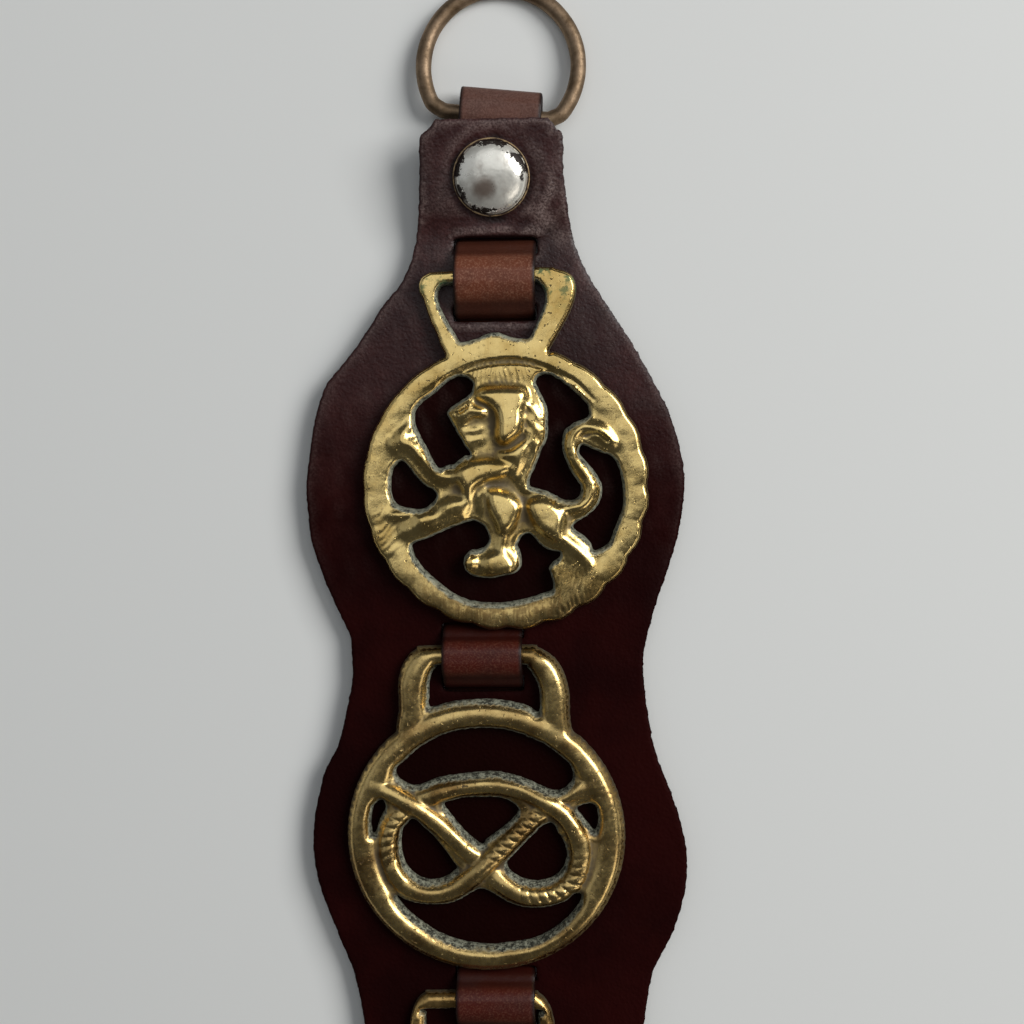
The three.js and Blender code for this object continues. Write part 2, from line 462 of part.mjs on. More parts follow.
function ovalRim(rx, ry, fromDeg, toDeg, steps) {
  return Array.from({ length: steps + 1 }, (_, i) => {
    const a = THREE.MathUtils.degToRad(mix(fromDeg, toDeg, i / steps));
    return [rx * Math.cos(a), ry * Math.sin(a)];
  });
}

function bandCrest(rx, ry, half, height, count) {
  return Array.from({ length: count }, (_, i) => {
    const a = (i / count) * 2 * Math.PI;
    return [rx * Math.cos(a), ry * Math.sin(a), half, height];
  });
}

function knotBrass() {
  const outline = [...ovalRim(KNOT.rx, KNOT.ry, 51, -232, 52), ...KNOT_HANGER];
  const body = plate(outline, KNOT_HOLES, KNOT.plate, KNOT.draft);
  const crest = ridge(bandCrest(KNOT.rx - 3.2, KNOT.ry - 3.2, 1.9, 0.9, 36), KNOT.plate, 1, true);
  const rope = KNOT_ROPE.map((nodes) => ridge(nodes, KNOT.plate, 1));
  return placed(union([body, crest, ...rope]), KNOT);
}

const WHEEL_HANGER = [
  [-16.6, 29], [-16.6, 35], [-16, 38.2], [-14.8, 40.8], [-13, 42.4], [-10.6, 42.9], [10.6, 42.9],
  [13, 42.4], [14.8, 40.8], [16, 38.2], [16.6, 35], [16.6, 29],
];
const WHEEL_SLOT = [
  [-12.2, 29], [-6, 30.6], [0, 31.2], [6, 30.6], [12.2, 29], [12.8, 33], [12.8, 37.4], [12, 38.8],
  [-12, 38.8], [-12.8, 37.4], [-12.8, 33],
];

/** One window between two straight spokes, the hub and the band. */
function wheelWindow(index) {
  const { radius, band, hub, spokes, spoke } = WHEEL;
  const start = Math.PI / 2 + (index * 2 * Math.PI) / spokes;
  const rim = (r, steps, reverse) => {
    const open = Math.asin(spoke / 2 / r);
    const row = Array.from({ length: steps + 1 }, (_, i) => {
      const a = start + mix(open, (2 * Math.PI) / spokes - open, i / steps);
      return [r * Math.cos(a), r * Math.sin(a)];
    });
    return reverse ? row.reverse() : row;
  };
  return [...rim(radius - band, 7, false), ...rim(hub + 1, 2, true)];
}

function wheelBrass() {
  const { radius, band, hub, spokes } = WHEEL;
  const windows = Array.from({ length: spokes }, (_, i) => wheelWindow(i));
  const outline = [...ovalRim(radius, radius, 54, -234, 48), ...WHEEL_HANGER];
  const body = plate(outline, [WHEEL_SLOT, ...windows], WHEEL.plate, WHEEL.draft);
  const crest = ridge(bandCrest(radius - band / 2, radius - band / 2, 1.7, 0.9, 32), WHEEL.plate, 1, true);
  const boss = ridge([[-0.1, 0, hub - 1.4, 1.8], [0.1, 0, hub - 1.4, 1.8]], WHEEL.plate, 1);
  return placed(union([body, crest, boss]), WHEEL);
}

// ---------------------------------------------------------------- assembly
const capSeat = ({ y }) => backingUnder(y) + BACKING.thick + GAP;

const martingale = new THREE.Group();
martingale.position.set(MIDDLE.x, MIDDLE.y, 0);
martingale.add(
  named("backing_leather", backing(), LEATHER, 0.7, 0),
  named("keeper_strap", keeperStrap(), TAN, 0.6, 0),
  named("d_ring", dRing(), ANTIQUE, 0.45, 1),
  named("cap_rivet", rivet(CAP, capSeat(CAP) + 0.05, Math.atan(RISE.slope)), NICKEL, 0.35, 1),
  named("tail_rivet", rivet(TAIL, capSeat(TAIL), 0), NICKEL, 0.35, 1),
  named("lion_brass", lionBrass(), GOLD, 0.3, 1),
  named("knot_brass", knotBrass(), BRONZE, 0.35, 1),
  named("wheel_brass", wheelBrass(), BRONZE, 0.35, 1),
);

export default martingale;
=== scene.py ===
"""Horse brasses on a leather martingale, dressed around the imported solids.

Three cast brasses hang by a narrow keeper strap on a scalloped leather backing. Each piece is a
surface worked out here in millimetres, in the frame of the solids, and turned to metres at the end.
"""

import logging
import math
from dataclasses import dataclass
from enum import Enum
from functools import partial
from types import SimpleNamespace
from typing import Callable, ClassVar, Sequence

import bpy
import numpy as np
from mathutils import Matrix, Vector
from mathutils.geometry import delaunay_2d_cdt


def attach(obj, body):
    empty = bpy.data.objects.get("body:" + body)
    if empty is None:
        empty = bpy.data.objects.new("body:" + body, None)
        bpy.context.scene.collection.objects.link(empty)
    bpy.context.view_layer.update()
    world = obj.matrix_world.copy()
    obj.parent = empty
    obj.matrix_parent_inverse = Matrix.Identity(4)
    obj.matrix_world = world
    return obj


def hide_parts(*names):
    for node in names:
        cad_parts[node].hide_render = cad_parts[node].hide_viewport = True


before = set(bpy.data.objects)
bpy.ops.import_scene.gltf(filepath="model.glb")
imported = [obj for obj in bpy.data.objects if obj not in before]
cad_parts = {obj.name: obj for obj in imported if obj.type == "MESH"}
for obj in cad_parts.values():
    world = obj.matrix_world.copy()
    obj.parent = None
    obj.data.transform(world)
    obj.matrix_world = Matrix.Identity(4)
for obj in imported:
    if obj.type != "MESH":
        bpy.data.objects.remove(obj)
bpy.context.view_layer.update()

LOG = logging.getLogger("martingale")
MM = 0.001

# ------------------------------------------------------------------ driving sizes, in millimetres
MIDDLE = np.array([0.35, -164.14])  # from the strap's tail to the middle of the whole
STRAP_WIDTH, STRAP_THICK = 18.0, 2.0
BACKING_THICK, BACKING_UNDER = 2.6, 2.3
RISE_FOOT, RISE_STEP, RISE_HEIGHT, RISE_SLOPE = 272.5, 278.5, 4.75, 0.2
BRASS_BACK = BACKING_UNDER + BACKING_THICK + 0.3
LION_AT, KNOT_AT, WHEEL_AT = np.array([2.1, 216.3]), np.array([-3.4, 137.2]), np.array([-4.9, 58.1])
CAP_AT, TAIL_AT = np.array([0.0, 284.4]), np.array([-0.4, 14.5])
LION_PLATE, KNOT_PLATE, WHEEL_PLATE = 3.2, 2.7, 2.7
LION_LOBES, LOBE_TURN = 24, 0.01
RIVET_PLAY = 0.3  # between the leather and a rivet's flange

# D-ring: middle of its arc, radius of the arc and of the wire, distance and height of the bar, and the
# sideways slope at which it hangs in the fold
RING_AT, RING_ARC, RING_WIRE = (2.1, 309.4), 17.15, 1.75
RING_CHORD, RING_BAR_Z, RING_TILT = 10.9, 4.05, -0.105

SLIT_OFF = 1.6  # from the end of the strap's pass to the middle of the slit
# how far the strap's middle drifts sideways on its way up: (y, x)
DRIFT = (
    (4, 0), (40, -0.8), (90, -1.6), (104, -1.6), (170, -3.6), (184, -3.6), (222, -1.8), (262, 0.3),
    (286, 1.2), (306, 2.4),
)


@dataclass(frozen=True)
class Keeper:
    """One pass of the strap over a hanger: the bar's place, height of its front, and both ends."""

    bar: float
    bar_front: float
    upper: float
    lower: float


KEEPERS = (
    Keeper(LION_AT[1] + 46.7, BRASS_BACK + 3.2, 271.4, 253.6),
    Keeper(KNOT_AT[1] + 41.3, BRASS_BACK + 2.9, 185.4, 170.4),
    Keeper(WHEEL_AT[1] + 40.8, BRASS_BACK + 2.9, 106.2, 90.4),
)


class Slot(Enum):
    """The record's material slots."""

    BACKING = "backing_leather"
    STRAP = "strap_leather"
    LION = "lion_cast"
    KNOT = "knot_cast"
    WHEEL = "wheel_cast"
    RING = "ring_wire"
    CAP = "cap_nickel"


# ------------------------------------------------------------------ curves and fields
BLOCK = 4000  # points compared with all marks at once, to bound the memory in use


def length_along(rows: np.ndarray) -> np.ndarray:
    """Running length of a line of points in its first two columns."""
    return np.concatenate([[0], np.cumsum(np.hypot(*np.diff(rows[:, :2], axis=0).T))])


def evenly(rows: np.ndarray, samples: int, closed: bool = False) -> np.ndarray:
    """A line of points read again at equal steps of its length; a closed one leaves its end out.

    Args:
        rows: points, whose first two columns give their distances.
        samples: how many to read.
        closed: whether the last point given is the first again.

    Returns:
        The samples.
    """
    run = length_along(rows)
    at = np.linspace(0, run[-1], samples, endpoint=not closed)
    return np.stack([np.interp(at, run, column) for column in rows.T], axis=1)


def softened(rows: np.ndarray, width: int, closed: bool) -> np.ndarray:
    """An even line whose bends are eased: each point is a raised-cosine mean of its neighbours.

    Args:
        rows: evenly spaced points.
        width: how many neighbours are averaged.
        closed: whether the line is a loop.

    Returns:
        The eased points, as many as before.
    """
    kernel = np.hanning(width) / np.hanning(width).sum()
    ends = width // 2
    padded = np.pad(rows, ((ends, ends), (0, 0)), mode="wrap" if closed else "edge")
    return np.stack([np.convolve(column, kernel, "valid") for column in padded.T], 1)


def spline(points: Sequence, spacing: float, closed: bool = True) -> np.ndarray:
    """Smooth curve through points of any width, at an even spacing.

    Each span is the Catmull-Rom cubic of its two points and their neighbours, and the fine curve is
    then read again at equal steps of its length in x and y.

    Args:
        points: rows whose first two values are x and y.
        spacing: distance between samples.
        closed: whether the last point joins the first.

    Returns:
        Rows of samples; a closed curve does not repeat its first.
    """
    p = np.asarray(points, float)
    if closed:
        before, here, after, beyond = np.roll(p, 1, 0), p, np.roll(p, -1, 0), np.roll(p, -2, 0)
    else:
        full = np.vstack([2 * p[0] - p[1], p, 2 * p[-1] - p[-2]])
        before, here, after, beyond = full[:-3], full[1:-2], full[2:-1], full[3:]
    t = np.linspace(0, 1, 24, endpoint=False)[None, :, None]
    a, b, c, d = (v[:, None, :] for v in (before, here, after, beyond))
    fine = 0.5 * (
        2 * b + (c - a) * t + (2 * a - 5 * b + 4 * c - d) * t**2 + (3 * b - a - 3 * c + d) * t**3
    )
    fine = np.vstack([fine.reshape(-1, p.shape[1]), p[:1] if closed else p[-1:]])
    count = max(8, round(length_along(fine)[-1] / spacing))
    return evenly(fine, count if closed else count + 1, closed)


def eased(pairs: Sequence, s: np.ndarray) -> np.ndarray:
    """Value at s of a curve through rising (s, value) pairs, easing in and out of each pair.

    Args:
        pairs: rising (s, value) pairs.
        s: where the curve is read.

    Returns:
        Its values there.
    """
    keys, values = np.asarray(pairs, float).T
    i = np.clip(np.searchsorted(keys, s) - 1, 0, len(keys) - 2)
    t = np.clip((s - keys[i]) / (keys[i + 1] - keys[i]), 0, 1)
    return values[i] + (values[i + 1] - values[i]) * t * t * (3 - 2 * t)


def bell(x: np.ndarray, width: float, power: int = 2) -> np.ndarray:
    """Bell of height 1 about zero: e to the power of minus (x / width)^power."""
    return np.exp(-((x / width) ** power))


def ripple(xy: np.ndarray, size: float, seed: int, waves: int = 9) -> np.ndarray:
    """Smooth unevenness between about -1 and 1: a sum of sine waves of one length in all directions.

    Args:
        xy: points.
        size: usual length of a wave.
        seed: picks the waves.
        waves: how many there are.

    Returns:
        The unevenness at each point.
    """
    rng = np.random.default_rng(seed)
    angle = rng.uniform(0, 2 * math.pi, waves)
    phase = rng.uniform(0, 2 * math.pi, waves)
    length = size * rng.uniform(0.7, 1.5, waves)
    turn = xy[:, :1] * np.cos(angle) + xy[:, 1:2] * np.sin(angle)
    return np.sin(2 * math.pi * turn / length + phase).mean(1) * 1.7


def nearest(xy: np.ndarray, marks: np.ndarray) -> tuple[np.ndarray, np.ndarray]:
    """Distance from each point to the nearest of many marks, and that mark's index.

    The square of a distance is the sum of both squares less twice the dot product, taken in blocks.

    Args:
        xy: points.
        marks: the places looked for.

    Returns:
        The distances and the marks' indices.
    """
    distance = np.empty(len(xy))
    index = np.empty(len(xy), int)
    weight = (marks**2).sum(1)
    for start in range(0, len(xy), BLOCK):
        part = xy[start : start + BLOCK]
        square = (part**2).sum(1)[:, None] + weight[None] - 2 * part @ marks.T
        best = square.argmin(1)
        index[start : start + BLOCK] = best
        distance[start : start + BLOCK] = np.sqrt(np.maximum(square[np.arange(len(part)), best], 0))
    return distance, index


def inside(xy: np.ndarray, loops: Sequence[np.ndarray]) -> np.ndarray:
    """Whether each point is in the material: a line drawn from it to the right crosses an odd count.

    Args:
        xy: points.
        loops: the outline and holes of the material.

    Returns:
        True for each point in it.
    """
    a = np.vstack(loops)
    b = np.vstack([np.roll(loop, -1, 0) for loop in loops])
    odd = np.zeros(len(xy), bool)
    slope = (b[:, 0] - a[:, 0]) / np.where(b[:, 1] == a[:, 1], 1e-12, b[:, 1] - a[:, 1])
    for start in range(0, len(xy), BLOCK):
        part = xy[start : start + BLOCK]
        y = part[:, 1:2]
        spans = (a[None, :, 1] > y) != (b[None, :, 1] > y)
        crossing = a[None, :, 0] + (y - a[None, :, 1]) * slope[None]
        odd[start : start + BLOCK] = (spans & (part[:, :1] < crossing)).sum(1) % 2 == 1
    return odd


def swell(a: np.ndarray, b: np.ndarray, blend: float) -> np.ndarray:
    """The larger of two heights, with a small fillet where both are up and nearly equal.

    Args:
        a: one height at each point.
        b: the other.
        blend: difference within which they are filleted.

    Returns:
        The joined height.
    """
    near = np.clip(1 - np.abs(a - b) / blend, 0, 1)
    return np.maximum(a, b) + near**2 * blend / 4 * np.clip(np.minimum(a, b) / blend, 0, 1)


# ------------------------------------------------------------------ relief
@dataclass(frozen=True)
class Ridge:
    """Rounded relief along a line of (x, y, half-width, height), twisted like rope where asked.

    A twisted ridge has a fifth value at each node, the share of the twist's depth there.
    """

    STEP: ClassVar[float] = 0.3  # between samples of the line
    LAY: ClassVar[float] = 2.1  # along the rope from one strand to the next
    SLANT: ClassVar[float] = 0.42  # share of a lay by which a strand leans over half the rope

    nodes: tuple
    closed: bool = False
    roundness: float = 0.8
    twist: float = 0.0
    carved: bool = False

    def raise_on(self, xy: np.ndarray) -> np.ndarray:
        """Height over each point: that of the dome times (1 - (distance / half-width)^2)^roundness.

        Args:
            xy: points in the casting's own millimetres.

        Returns:
            Height at each point.
        """
        line = spline(self.nodes, self.STEP, self.closed)
        reach = line[:, 2].max()
        low, high = line[:, :2].min(0) - reach, line[:, :2].max(0) + reach
        near = ((xy > low) & (xy < high)).all(1)
        height = np.zeros(len(xy))
        if not near.any():
            return height
        distance, index = nearest(xy[near], line[:, :2])
        half, top = line[index, 2], line[index, 3]
        dome = np.clip(1 - (distance / half) ** 2, 0, 1) ** self.roundness * top
        if self.twist:
            ahead = np.gradient(line[:, :2], axis=0)[index]
            off = xy[near] - line[index, :2]
            across = (ahead[:, 0] * off[:, 1] - ahead[:, 1] * off[:, 0]) / np.hypot(*ahead.T)
            strand = math.pi * (index * self.STEP / self.LAY + across / half * self.SLANT)
            groove = np.clip(1 - np.abs(np.sin(strand)) / 0.5, 0, 1)
            dome -= self.twist * line[index, 4] * groove * np.clip(dome / 0.5, 0, 1)
        height[near] = dome
        return height


@dataclass(frozen=True)
class Facet:
    """A flat-topped form: an outline, its height, how far its edge rounds, and its slope in x and y."""

    outline: tuple
    height: float
    edge: float = 1.2
    slope: tuple = (0.0, 0.0)
    carved: bool = False

    def raise_on(self, xy: np.ndarray) -> np.ndarray:
        """Height over each point: the sloping top times (1 - (1 - distance / edge)^2)^0.75.

        Args:
            xy: points in the casting's own millimetres.

        Returns:
            Height at each point.
        """
        shape = np.asarray(self.outline, float)
        loop = spline(shape, 0.25)
        height = np.zeros(len(xy))
        box = ((xy > loop.min(0)) & (xy < loop.max(0))).all(1)
        if not box.any():
            return height
        held = np.flatnonzero(box)[inside(xy[box], [loop])]
        distance, _ = nearest(xy[held], loop)
        t = 1 - np.clip(distance / self.edge, 0, 1)
        top = self.height + (xy[held] - shape.mean(0)) @ np.asarray(self.slope)
        height[held] = np.maximum(top, 0.05) * (1 - t**2) ** 0.75
        return height


@dataclass(frozen=True)
class Hatching:
    """Fine cut lines within an outline: their pitch, depth and direction in degrees."""

    outline: tuple
    pitch: float
    depth: float
    angle: float
    carved: bool = True

    def raise_on(self, xy: np.ndarray) -> np.ndarray:
        """Depth of the cuts: a sine across the lines, wandering with a slow ripple, fading at the edge.

        Args:
            xy: points in the casting's own millimetres.

        Returns:
            Depth at each point, counted down.
        """
        loop = spline(self.outline, 0.4)
        held = np.flatnonzero(inside(xy, [loop]))
        height = np.zeros(len(xy))
        a = math.radians(self.angle)
        across = xy[held] @ np.array([-math.sin(a), math.cos(a)])
        wander = ripple(xy[held] * np.array([1.0, 0.6]), 5.0, 5) * 0.8
        fade = np.clip(nearest(xy[held], loop)[0] / 1.2, 0, 1)
        line = np.sin(2 * math.pi * (across + wander) / self.pitch)
        breakup = 0.55 + 0.45 * ripple(xy[held], 2.2, 9)
        height[held] = self.depth * line * fade * breakup
        return height


# ------------------------------------------------------------------ meshes
def make_mesh(name: str, xyz: np.ndarray, faces: Sequence, marks: dict,
              crease: float = 45.0) -> bpy.types.Object:
    """A piece from points in layout millimetres and faces, with its marks as point attributes.

    Args:
        name: the piece's name.
        xyz: points, in the layout's millimetres.
        faces: arrays of triangles or quads, as point numbers.
        marks: attribute name to one value a point.
        crease: faces that meet at more than this many degrees keep a sharp edge.

    Returns:
        The linked object, at the origin, in metres.
    """
    place = xyz.copy()
    place[:, :2] += MIDDLE
    sizes = np.concatenate([np.full(len(f), f.shape[1]) for f in faces])
    numbers = np.concatenate([f.ravel() for f in faces])
    mesh = bpy.data.meshes.new(name)
    mesh.vertices.add(len(place))
    mesh.vertices.foreach_set("co", (place * MM).astype(np.float32).ravel())
    mesh.loops.add(len(numbers))
    mesh.loops.foreach_set("vertex_index", numbers.astype(np.int32))
    mesh.polygons.add(len(sizes))
    starts = np.concatenate([[0], np.cumsum(sizes)[:-1]]).astype(np.int32)
    mesh.polygons.foreach_set("loop_start", starts)
    mesh.update(calc_edges=True)
    mesh.validate()
    mesh.polygons.foreach_set("use_smooth", np.ones(len(mesh.polygons), bool))
    mesh.set_sharp_from_angle(angle=math.radians(crease))
    for mark, values in marks.items():
        layer = mesh.attributes.new(mark, "FLOAT", "POINT")
        layer.data.foreach_set("value", values.astype(np.float32))
    piece = bpy.data.objects.new(name, mesh)
    bpy.context.scene.collection.objects.link(piece)
    return piece


def tube(rings: np.ndarray, closed: bool) -> list:
    """Faces of a grid of rings: quads between neighbours, and fans over the ends unless it is closed.

    Args:
        rings: points as (ring, place round it, xyz).
        closed: whether the last ring meets the first.

    Returns:
        Arrays of quads and triangles.
    """
    count, around = rings.shape[:2]
    number = np.arange(count * around).reshape(count, around)
    here = number if closed else number[:-1]
    after = np.roll(number, -1, 0) if closed else number[1:]
    quads = np.stack([here, after, np.roll(after, -1, 1), np.roll(here, -1, 1)], axis=-1).reshape(-1, 4)
    if closed:
        return [quads]
    fan = np.arange(1, around - 1)
    first, last = number[0], number[-1]
    ends = np.vstack([
        np.stack([np.full_like(fan, first[0]), first[fan], first[fan + 1]], 1),
        np.stack([np.full_like(fan, last[0]), last[fan + 1], last[fan]], 1),
    ])
    return [quads, ends]


def turned(profile: np.ndarray, sides: int) -> tuple[np.ndarray, list]:
    """A profile of (radius, height) turned round the upright axis, from its foot's middle to its top.

    Args:
        profile: points from the foot's middle, outwards and up to the top's middle.
        sides: how many sides the round has.

    Returns:
        Its points and faces.
    """
    a = np.linspace(0, 2 * math.pi, sides, endpoint=False)
    body = profile[1:-1]
    rings = np.stack([
        body[:, :1] * np.cos(a), body[:, :1] * np.sin(a), np.repeat(body[:, 1:2], sides, 1),
    ], axis=-1)
    number = np.arange(len(body) * sides).reshape(len(body), sides)
    quads = np.stack([
        number[:-1], np.roll(number[:-1], -1, 1), np.roll(number[1:], -1, 1), number[1:],
    ], axis=-1).reshape(-1, 4)
    foot, top = len(body) * sides, len(body) * sides + 1
    caps = np.vstack([
        np.stack([np.roll(number[0], -1), number[0], np.full(sides, foot)], 1),
        np.stack([number[-1], np.roll(number[-1], -1), np.full(sides, top)], 1),
    ])
    ends = np.array([[0, 0, profile[0, 1]], [0, 0, profile[-1, 1]]])
    return np.vstack([rings.reshape(-1, 3), ends]), [quads, caps]


def sideways(loop: np.ndarray) -> np.ndarray:
    """Unit directions to the right of travel round a loop: out of it, where it runs anticlockwise.

    Args:
        loop: points of a closed line.

    Returns:
        One direction a point.
    """
    along = np.roll(loop, -1, 0) - np.roll(loop, 1, 0)
    along /= np.hypot(*along.T)[:, None]
    return np.stack([along[:, 1], -along[:, 0]], 1)


def wound(loop: np.ndarray, anticlockwise: bool) -> np.ndarray:
    """The loop in the asked direction, by the sign of its area.

    Args:
        loop: points of a closed line.
        anticlockwise: the direction asked for.

    Returns:
        The points in that order.
    """
    x, y = loop.T
    area = (x * np.roll(y, -1) - y * np.roll(x, -1)).sum()
    return loop if (area > 0) == anticlockwise else loop[::-1].copy()


def facing_up(xy: np.ndarray, tris: np.ndarray) -> np.ndarray:
    """Triangles turned so that each runs anticlockwise, seen from the front.

    Args:
        xy: points.
        tris: their triangles.

    Returns:
        The triangles, each in the right order.
    """
    a, b, c = (xy[tris[:, i]] for i in range(3))
    area = (b[:, 0] - a[:, 0]) * (c[:, 1] - a[:, 1]) - (b[:, 1] - a[:, 1]) * (c[:, 0] - a[:, 0])
    return np.where((area > 0)[:, None], tris, tris[:, ::-1])


@dataclass
class Spots:
    """Points of a front: their place, their distance from the edge, and which edge point is nearest."""

    xy: np.ndarray
    depth: np.ndarray
    edge: np.ndarray


@dataclass
class PiercedSheet:
    """A sheet with a front worked out from its outline, upright foot walls and a plain back.

    The front is triangulated between its contours: points on them, rows of points set in from them
    and an even grid inside. Its height is a function of place and of distance from the edge.
    """

    ROW_CLEAR: ClassVar[float] = 0.93  # share of its inset that a row's point keeps from every edge
    GRID_CLEAR: ClassVar[float] = 0.6  # share of the grid's step between it and the last row

    outline: np.ndarray
    holes: list
    spacing: float
    insets: tuple
    grid: float

    def __post_init__(self) -> None:
        """Turns the outline anticlockwise and the holes clockwise, so material lies to their left."""
        self.loops = [wound(self.outline, True)] + [wound(hole, False) for hole in self.holes]
        self.contour = np.vstack(self.loops)
        self.outward = np.vstack([sideways(loop) for loop in self.loops])
        starts = np.cumsum([0] + [len(loop) for loop in self.loops])
        self.ahead = np.concatenate([
            start + np.roll(np.arange(len(loop)), -1) for start, loop in zip(starts, self.loops)
        ])

    def triangles(self, xy: np.ndarray) -> np.ndarray:
        """Triangles between points whose first ones are the contour's, without those over the holes.

        Args:
            xy: points, the contour's first.

        Returns:
            Triangles that face the front.
        """
        count = len(self.contour)
        edges = np.stack([np.arange(count), self.ahead], 1)
        made = delaunay_2d_cdt(xy.tolist(), edges.tolist(), [], 0, 1e-6, False)
        if len(made[0]) != len(xy):
            raise ValueError("an outline crosses itself")
        tris = np.array(made[2])
        between = (tris < count).all(1)
        keep = np.ones(len(tris), bool)
        keep[between] = inside(xy[tris[between]].mean(1), self.loops)
        return facing_up(xy, tris[keep])

    def spots(self) -> Spots:
        """Points of the front: the contours, rows set in from them, and a grid of even triangles.

        Returns:
            All points of the front, the contour's first.
        """
        points, depths = [self.contour], [np.zeros(len(self.contour))]
        edge = [np.arange(len(self.contour))]
        for i, inset in enumerate(self.insets):
            row = self.contour - self.outward * inset
            keep = nearest(row, self.contour)[0] > inset * self.ROW_CLEAR
            if i % 2 and inset > self.spacing * 2:
                keep &= np.arange(len(row)) % 2 == 0
            points.append(row[keep])
            depths.append(np.full(keep.sum(), inset))
            edge.append(np.flatnonzero(keep))
        low, high = self.contour.min(0), self.contour.max(0)
        across = np.arange(low[0], high[0], self.grid)
        up = np.arange(low[1], high[1], self.grid * math.sqrt(0.75))
        field_x, field_y = np.meshgrid(across, up)
        field_x[1::2] += self.grid / 2
        field = np.stack([field_x.ravel(), field_y.ravel()], 1)
        field = field[inside(field, self.loops)]
        distance, index = nearest(field, self.contour)
        keep = distance > self.insets[-1] + self.grid * self.GRID_CLEAR
        points.append(field[keep])
        depths.append(distance[keep])
        edge.append(index[keep])
        return Spots(np.vstack(points), np.concatenate(depths), np.concatenate(edge))

    def build(self, name: str, front: Callable, back: Callable, marks: Callable, rows: int = 1,
              rough: float = 0.0, crease: float = 45.0) -> bpy.types.Object:
        """The finished piece.

        Args:
            name: the piece's name.
            front: height of the front for its spots and triangles.
            back: height of the back for points.
            marks: attributes for the sheet, its spots, front heights and triangles of the front.
            rows: rows of wall faces.
            rough: how far the wall's middle rows wander outwards, for a torn or sand-cast edge.
            crease: angle of the edges that stay sharp.

        Returns:
            The linked object.
        """
        spots = self.spots()
        tris = self.triangles(spots.xy)
        top = front(spots, tris)
        count = len(self.contour)
        low = back(self.contour)
        levels, quads = [np.column_stack([spots.xy, top])], []
        above = np.arange(count)
        for row in range(1, rows + 1):
            t = row / rows
            step = ripple(self.contour + row * 7.3, 1.1, 31 + row) * rough * math.sin(math.pi * t)
            level = self.contour + self.outward * step[:, None]
            levels.append(np.column_stack([level, top[:count] * (1 - t) + low * t]))
            below = np.arange(count) + len(spots.xy) + (row - 1) * count
            quads.append(np.stack([above, below, below[self.ahead], above[self.ahead]], 1))
            above = below
        rear = self.triangles(self.contour)[:, ::-1] + above[0]
        found = marks(self, spots, top, tris)
        for mark, values in found.items():
            wall = np.tile(values[:count], rows)
            found[mark] = np.concatenate([values, np.ones_like(wall) if mark == "cut" else wall])
        return make_mesh(name, np.vstack(levels), [tris, np.vstack(quads), rear], found, crease)


def smoothed(values: np.ndarray, tris: np.ndarray, passes: int) -> np.ndarray:
    """Values of points, each moved half way to the mean of its neighbours, over and over.

    Args:
        values: one value a point.
        tris: triangles between the points.
        passes: how often they are averaged.

    Returns:
        The smoothed values.
    """
    ends = np.vstack([tris[:, [0, 1]], tris[:, [1, 2]], tris[:, [2, 0]]])
    ends = np.vstack([ends, ends[:, ::-1]])
    share = np.bincount(ends[:, 0], minlength=len(values))
    for _ in range(passes):
        total = np.bincount(ends[:, 0], weights=values[ends[:, 1]], minlength=len(values))
        values = 0.5 * values + 0.5 * total / np.maximum(share, 1)
    return values


class Piece:
    """Base of the pieces: each names its solid and material slot, builds its mesh and dresses it."""

    node: str
    slot: Slot

    def build(self) -> bpy.types.Object:
        """The piece's mesh, linked at the origin.

        Returns:
            The linked object.
        """
        raise NotImplementedError

    def dress(self, finishes: dict) -> None:
        """The mesh gets its slot's finish, rides on the root body and stands for its solid.

        Args:
            finishes: the material of each slot.
        """
        piece = self.build()
        piece.data.materials.append(finishes[self.slot])
        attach(piece, "root")
        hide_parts(self.node)
        LOG.info("%s: %d faces for %s", piece.name, len(piece.data.polygons), self.node)


